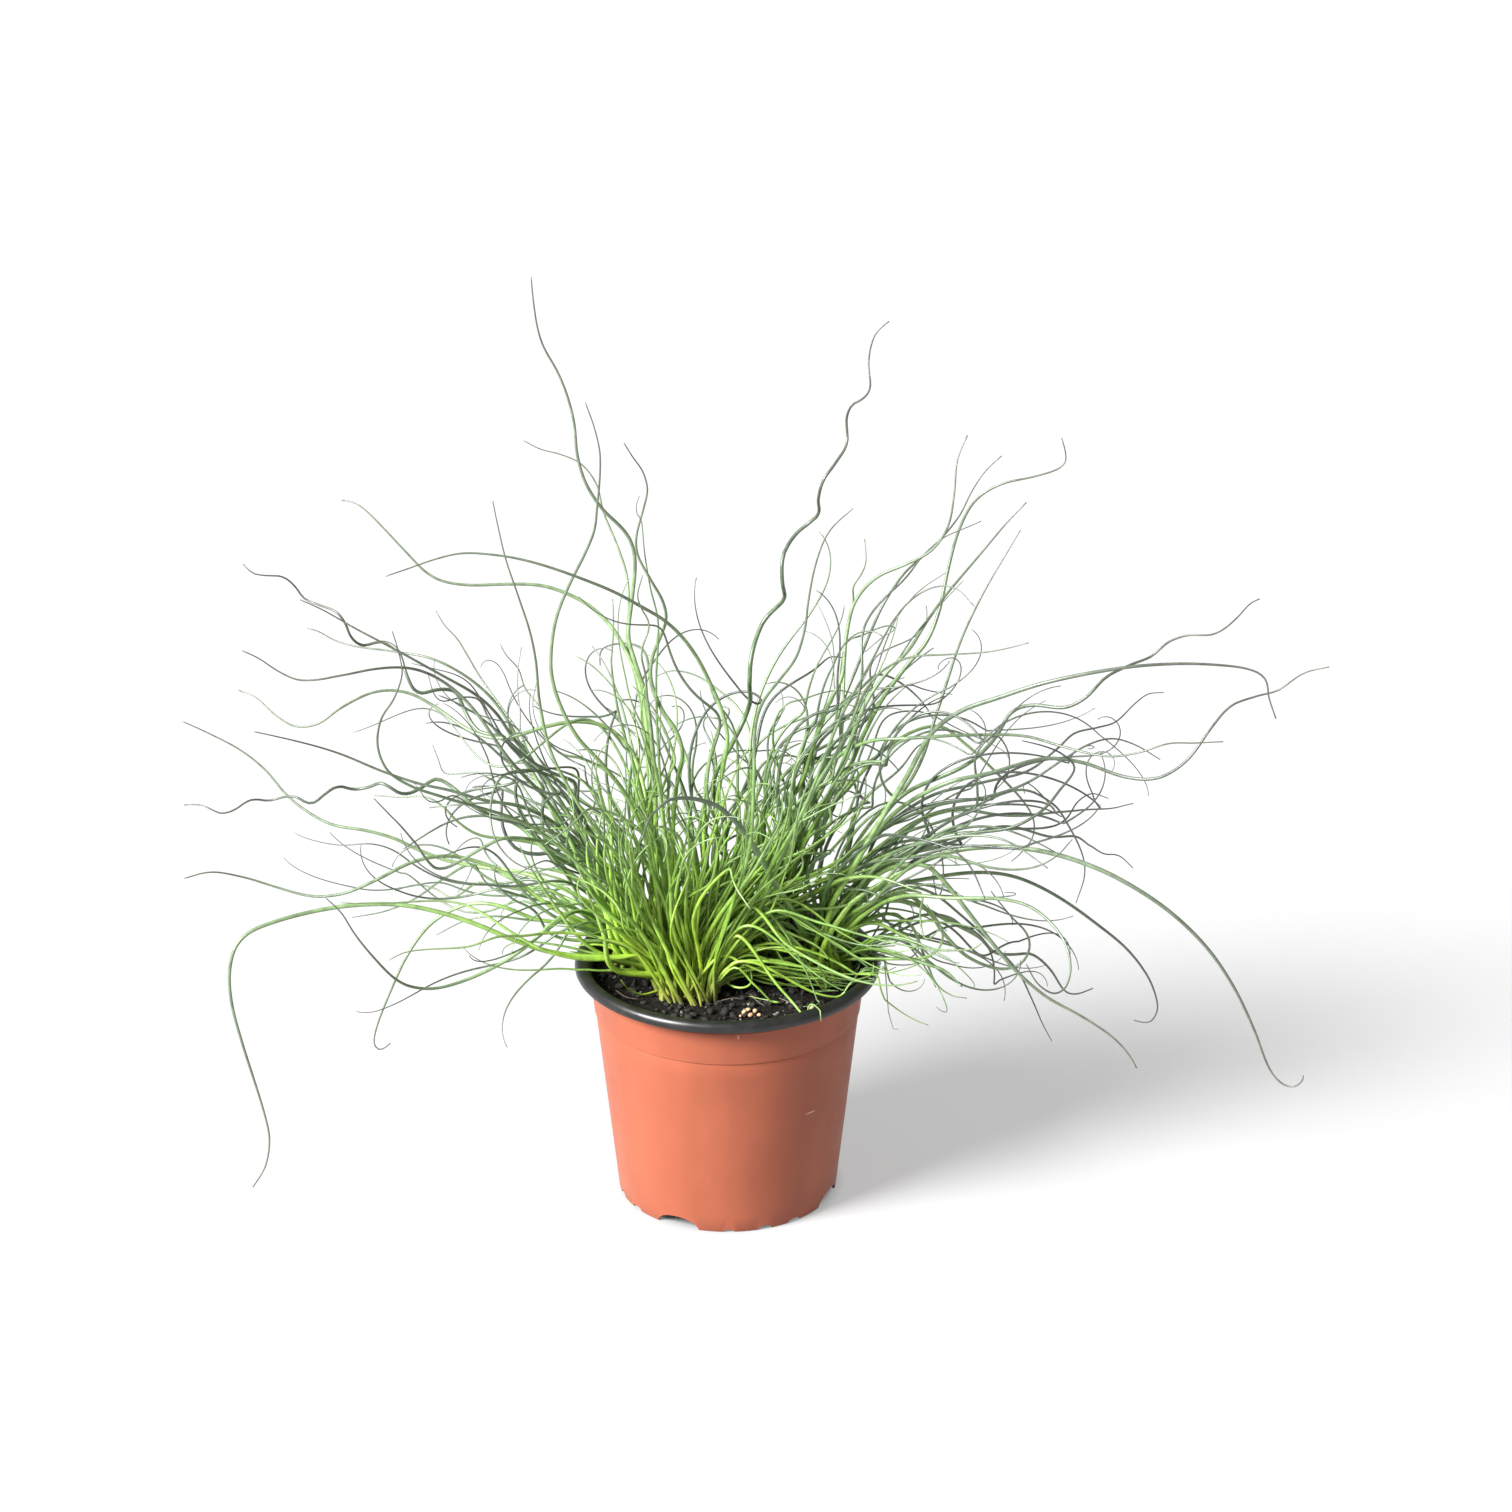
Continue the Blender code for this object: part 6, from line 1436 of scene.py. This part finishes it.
def fine_pot(material, dark_material):
    """The pot turned finely, with its notches and drain holes cut, two colours of plastic."""
    underside, outside, rest = fine_pot_profile()
    profile = rounded(underside + outside + rest, POT_STEP)
    first = profile.index(outside[0])
    last = profile.index(rest[0])
    points = [(radius * math.cos(angle), radius * math.sin(angle), height)
              for radius, height in profile for angle in angles_round(POT_SIDES)]
    pot = mesh_object("moulded_pot", points, ring_faces(len(profile), POT_SIDES), material)
    pot.data.materials.append(dark_material)
    for face in pot.data.polygons:
        row = face.index // POT_SIDES
        face.material_index = 0 if first <= row < last else 1
    cutters = notch_cutters(NOTCH_ARCH_SIDES) + drain_cutters(DRAIN_SIDES)
    for cutter in cutters:
        boolean = pot.modifiers.new(cutter.name, "BOOLEAN")
        boolean.operation = "DIFFERENCE"
        boolean.object = cutter
    shape = pot.evaluated_get(bpy.context.evaluated_depsgraph_get())
    cut_mesh = bpy.data.meshes.new_from_object(shape)
    pot.modifiers.clear()
    pot.data = cut_mesh
    for face in cut_mesh.polygons:
        away = (Vector(face.center) - PLACE).xy.length
        if face.center.z < FLOOR_TOP and away < wall_radius(face.center.z) - 0.3 * MM:
            face.material_index = 1
    cut_mesh.set_sharp_from_angle(angle=POT_SHARP_ANGLE)
    for cutter in cutters:
        bpy.data.objects.remove(cutter, do_unlink=True)
    return pot


def crumbly(x, y):
    """Height of the potting mix: the soil's gentle shape with lumps of several sizes."""
    place = Vector((x, y, 0.0))
    lumps = noise.noise(place * 150.0) * 0.9 + abs(noise.noise(place * 420.0)) * 0.9
    grains = noise.noise(place * 1100.0) * 0.25
    return soil_height(x, y) + (lumps + grains - 0.25) * MM


def fine_soil(material):
    """A plug of potting mix with a lumpy top."""
    top_radius = wall_radius(SOIL_LEVEL) - WALL - 0.15 * MM
    lower_radius = wall_radius(FLOOR_TOP) - WALL - 0.9 * MM
    shoulder_radius = wall_radius(SHOULDER_HEIGHT) - WALL - 0.3 * MM
    profile = [(CAP_RADIUS, FLOOR_TOP + GAP), (lower_radius, FLOOR_TOP + GAP),
               (shoulder_radius, SHOULDER_HEIGHT - WALL), (top_radius, SOIL_LEVEL - 1.5 * MM)]
    profile += [(top_radius * (1.0 - k / SOIL_RINGS), None) for k in range(SOIL_RINGS)]
    points = []
    for radius, height in profile:
        for angle in angles_round(SOIL_SIDES):
            x, y = radius * math.cos(angle), radius * math.sin(angle)
            points.append((x, y, crumbly(x, y) if height is None else height))
    return mesh_object("potting_mix", points, ring_faces(len(profile), SOIL_SIDES), material)


def lump(place, size, chance, rounds, rough):
    """An irregular lump: a ball of facets pushed in and out."""
    bm = bmesh.new()
    bmesh.ops.create_icosphere(bm, subdivisions=rounds, radius=1.0)
    stretch = np.array([chance.uniform(*limits) for limits in BIT_STRETCH])
    turn = chance.uniform(*ANY_TURN)
    points = []
    for vert in bm.verts:
        x, y, z = np.array(vert.co) * (1.0 + chance.uniform(-rough, rough)) * stretch * size
        points.append((place[0] + x * math.cos(turn) - y * math.sin(turn),
                       place[1] + x * math.sin(turn) + y * math.cos(turn), place[2] + z))
    faces = [tuple(vert.index for vert in face.verts) for face in bm.faces]
    bm.free()
    return points, faces


def lumps_object(name, places, chance, material, rounds=1, rough=0.28):
    """One object of many lumps, each a place and a size."""
    points, faces = [], []
    for place, size in places:
        own_points, own_faces = lump(place, size, chance, rounds, rough)
        faces.extend(tuple(corner + len(points) for corner in face) for face in own_faces)
        points.extend(own_points)
    return mesh_object(name, points, faces, material)


def scattered(count, chance, smallest, largest):
    """Places on the soil, with sizes, small ones far more often."""
    places = []
    for _ in range(count):
        angle = chance.uniform(0.0, 2.0 * math.pi)
        out = math.sqrt(chance.uniform()) * (wall_radius(SOIL_LEVEL) - WALL - SCATTER_EDGE)
        x, y = out * math.cos(angle), out * math.sin(angle)
        size = (smallest + (largest - smallest) * chance.uniform() ** 3) * MM
        places.append(((x, y, crumbly(x, y) + 0.3 * size), size))
    return places


def on_soil(x, z, lift):
    """The place on the soil, in metres, that is seen at (x, z) mm on the upright plane; lift is in mm."""
    level = SOIL_LEVEL + lift * MM
    share = (level - EYE.z) / (z * MM - EYE.z)
    return (EYE.x + (x * MM - EYE.x) * share, EYE.y - EYE.y * share, level)


def fibres_object(chance, material):
    """Thin pale root fibres lying on the soil."""
    stems = []
    for points in ROOT_FIBRES:
        route = evenly([on_soil(x, z, lift) for x, z, lift in points], FIBRE_STEP)
        radii = fine_taper(route, FIBRE_THICKNESS, FIBRE_TIP_SHARE)
        stems.append((route, radii, chance.uniform(), 0.0, 1.0))
    return stems_object("root_fibres", stems, TUFT_SIDES, material)


# Camera, light and floor
def make_camera():
    camera = bpy.data.objects.new("camera", bpy.data.cameras.new("camera"))
    bpy.context.scene.collection.objects.link(camera)
    target = CAMERA_TARGET + PLACE
    away = Vector((0.0, -math.cos(CAMERA_PITCH), math.sin(CAMERA_PITCH))) * CAMERA_DISTANCE
    camera.location = target + away
    camera.rotation_euler = (math.radians(90.0) - CAMERA_PITCH, 0.0, 0.0)
    camera.data.sensor_width = SENSOR_MM
    camera.data.lens = LENS_MM
    camera.data.clip_end = CAMERA_REACH
    bpy.context.scene.camera = camera


def make_light():
    """A white studio: even light all round, and a broad key light from the front left."""
    world = bpy.data.worlds.new("studio")
    bpy.context.scene.world = world
    world.use_nodes = True
    background = world.node_tree.nodes["Background"]
    background.inputs["Color"].default_value = (1.0, 1.0, 1.0, 1.0)
    background.inputs["Strength"].default_value = WORLD_STRENGTH
    lamp = bpy.data.lights.new("key", "SUN")
    lamp.energy = KEY_STRENGTH
    lamp.angle = KEY_SOFTNESS
    key = bpy.data.objects.new("key", lamp)
    bpy.context.scene.collection.objects.link(key)
    key.rotation_euler = Vector(KEY_TRAVEL).to_track_quat("-Z", "Y").to_euler()


def make_floor():
    """A pale floor that glows a little like a lit studio sweep, with a painted shadow under the pot."""
    bpy.ops.mesh.primitive_plane_add(size=FLOOR_SIZE, location=(0.0, 0.0, FLOOR_LEVEL))
    floor = bpy.context.object
    floor.name = "floor"
    material = new_material("pale_floor", FLOOR_COLOUR, 0.9)
    shader = shader_of(material)
    shader.inputs["Specular IOR Level"].default_value = 0.0
    shader.inputs["Emission Color"].default_value = (1.0, 1.0, 1.0, 1.0)
    coordinates = add_node(material, "ShaderNodeTexCoord")
    away = add_node(material, "ShaderNodeVectorMath", operation="DISTANCE")
    join_up(material, coordinates.outputs["Object"], away.inputs[0])
    away.inputs[1].default_value = (PLACE.x, PLACE.y, 0.0)
    # Painted contact shadow: the glow fades to almost nothing under the pot's foot
    glow_with_painted_shadow = ramp(material, away.outputs["Value"],
                (0.90 * BASE_RADIUS, FLOOR_GLOW_IN_PAINTED_SHADOW),
                (1.02 * BASE_RADIUS, FLOOR_GLOW))
    join_up(material, glow_with_painted_shadow, shader.inputs["Emission Strength"])
    floor.data.materials.append(material)


# Assembly
def settle(piece, slot, *nodes):
    """The piece stands still with the plant and stands for the nodes; the slot is not used."""
    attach(piece, "root")
    if nodes:
        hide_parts(*nodes)


def main():
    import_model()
    chance = np.random.default_rng(SEED)
    bpy.context.scene.view_settings.view_transform = "Standard"

    green = rush_material()
    routes = parted_routes()
    for name in STEMS:
        settle(long_stem_piece(name, routes[name], chance, green), "rush", name)
    for clump in CLUMPS:
        settle(tuft_piece(clump, routes, chance, green), "rush", f"clump_{clump}")
    settle(small_stems(chance, green), "rush")

    settle(fine_pot(terracotta_material(), black_material()), "pot_plastic", "pot")
    settle(fine_soil(soil_material()), "soil", "soil")
    bits = {name: bit_material(name, *look) for name, look in BIT_FINISHES.items()}
    for name, (look, count, smallest, largest) in SCATTERED_BITS.items():
        places = scattered(count, chance, smallest, largest)
        settle(lumps_object(name, places, chance, bits[look]), "soil")
    settle(fibres_object(chance, bits["root_fibre"]), "soil")
    for name, (look, rounds, rough, lift, beads) in BEADS.items():
        places = [(on_soil(x, z, lift), size * MM) for x, z, size in beads]
        settle(lumps_object(name, places, chance, bits[look], rounds, rough), "soil")

    make_camera()
    make_light()
    make_floor()


main()
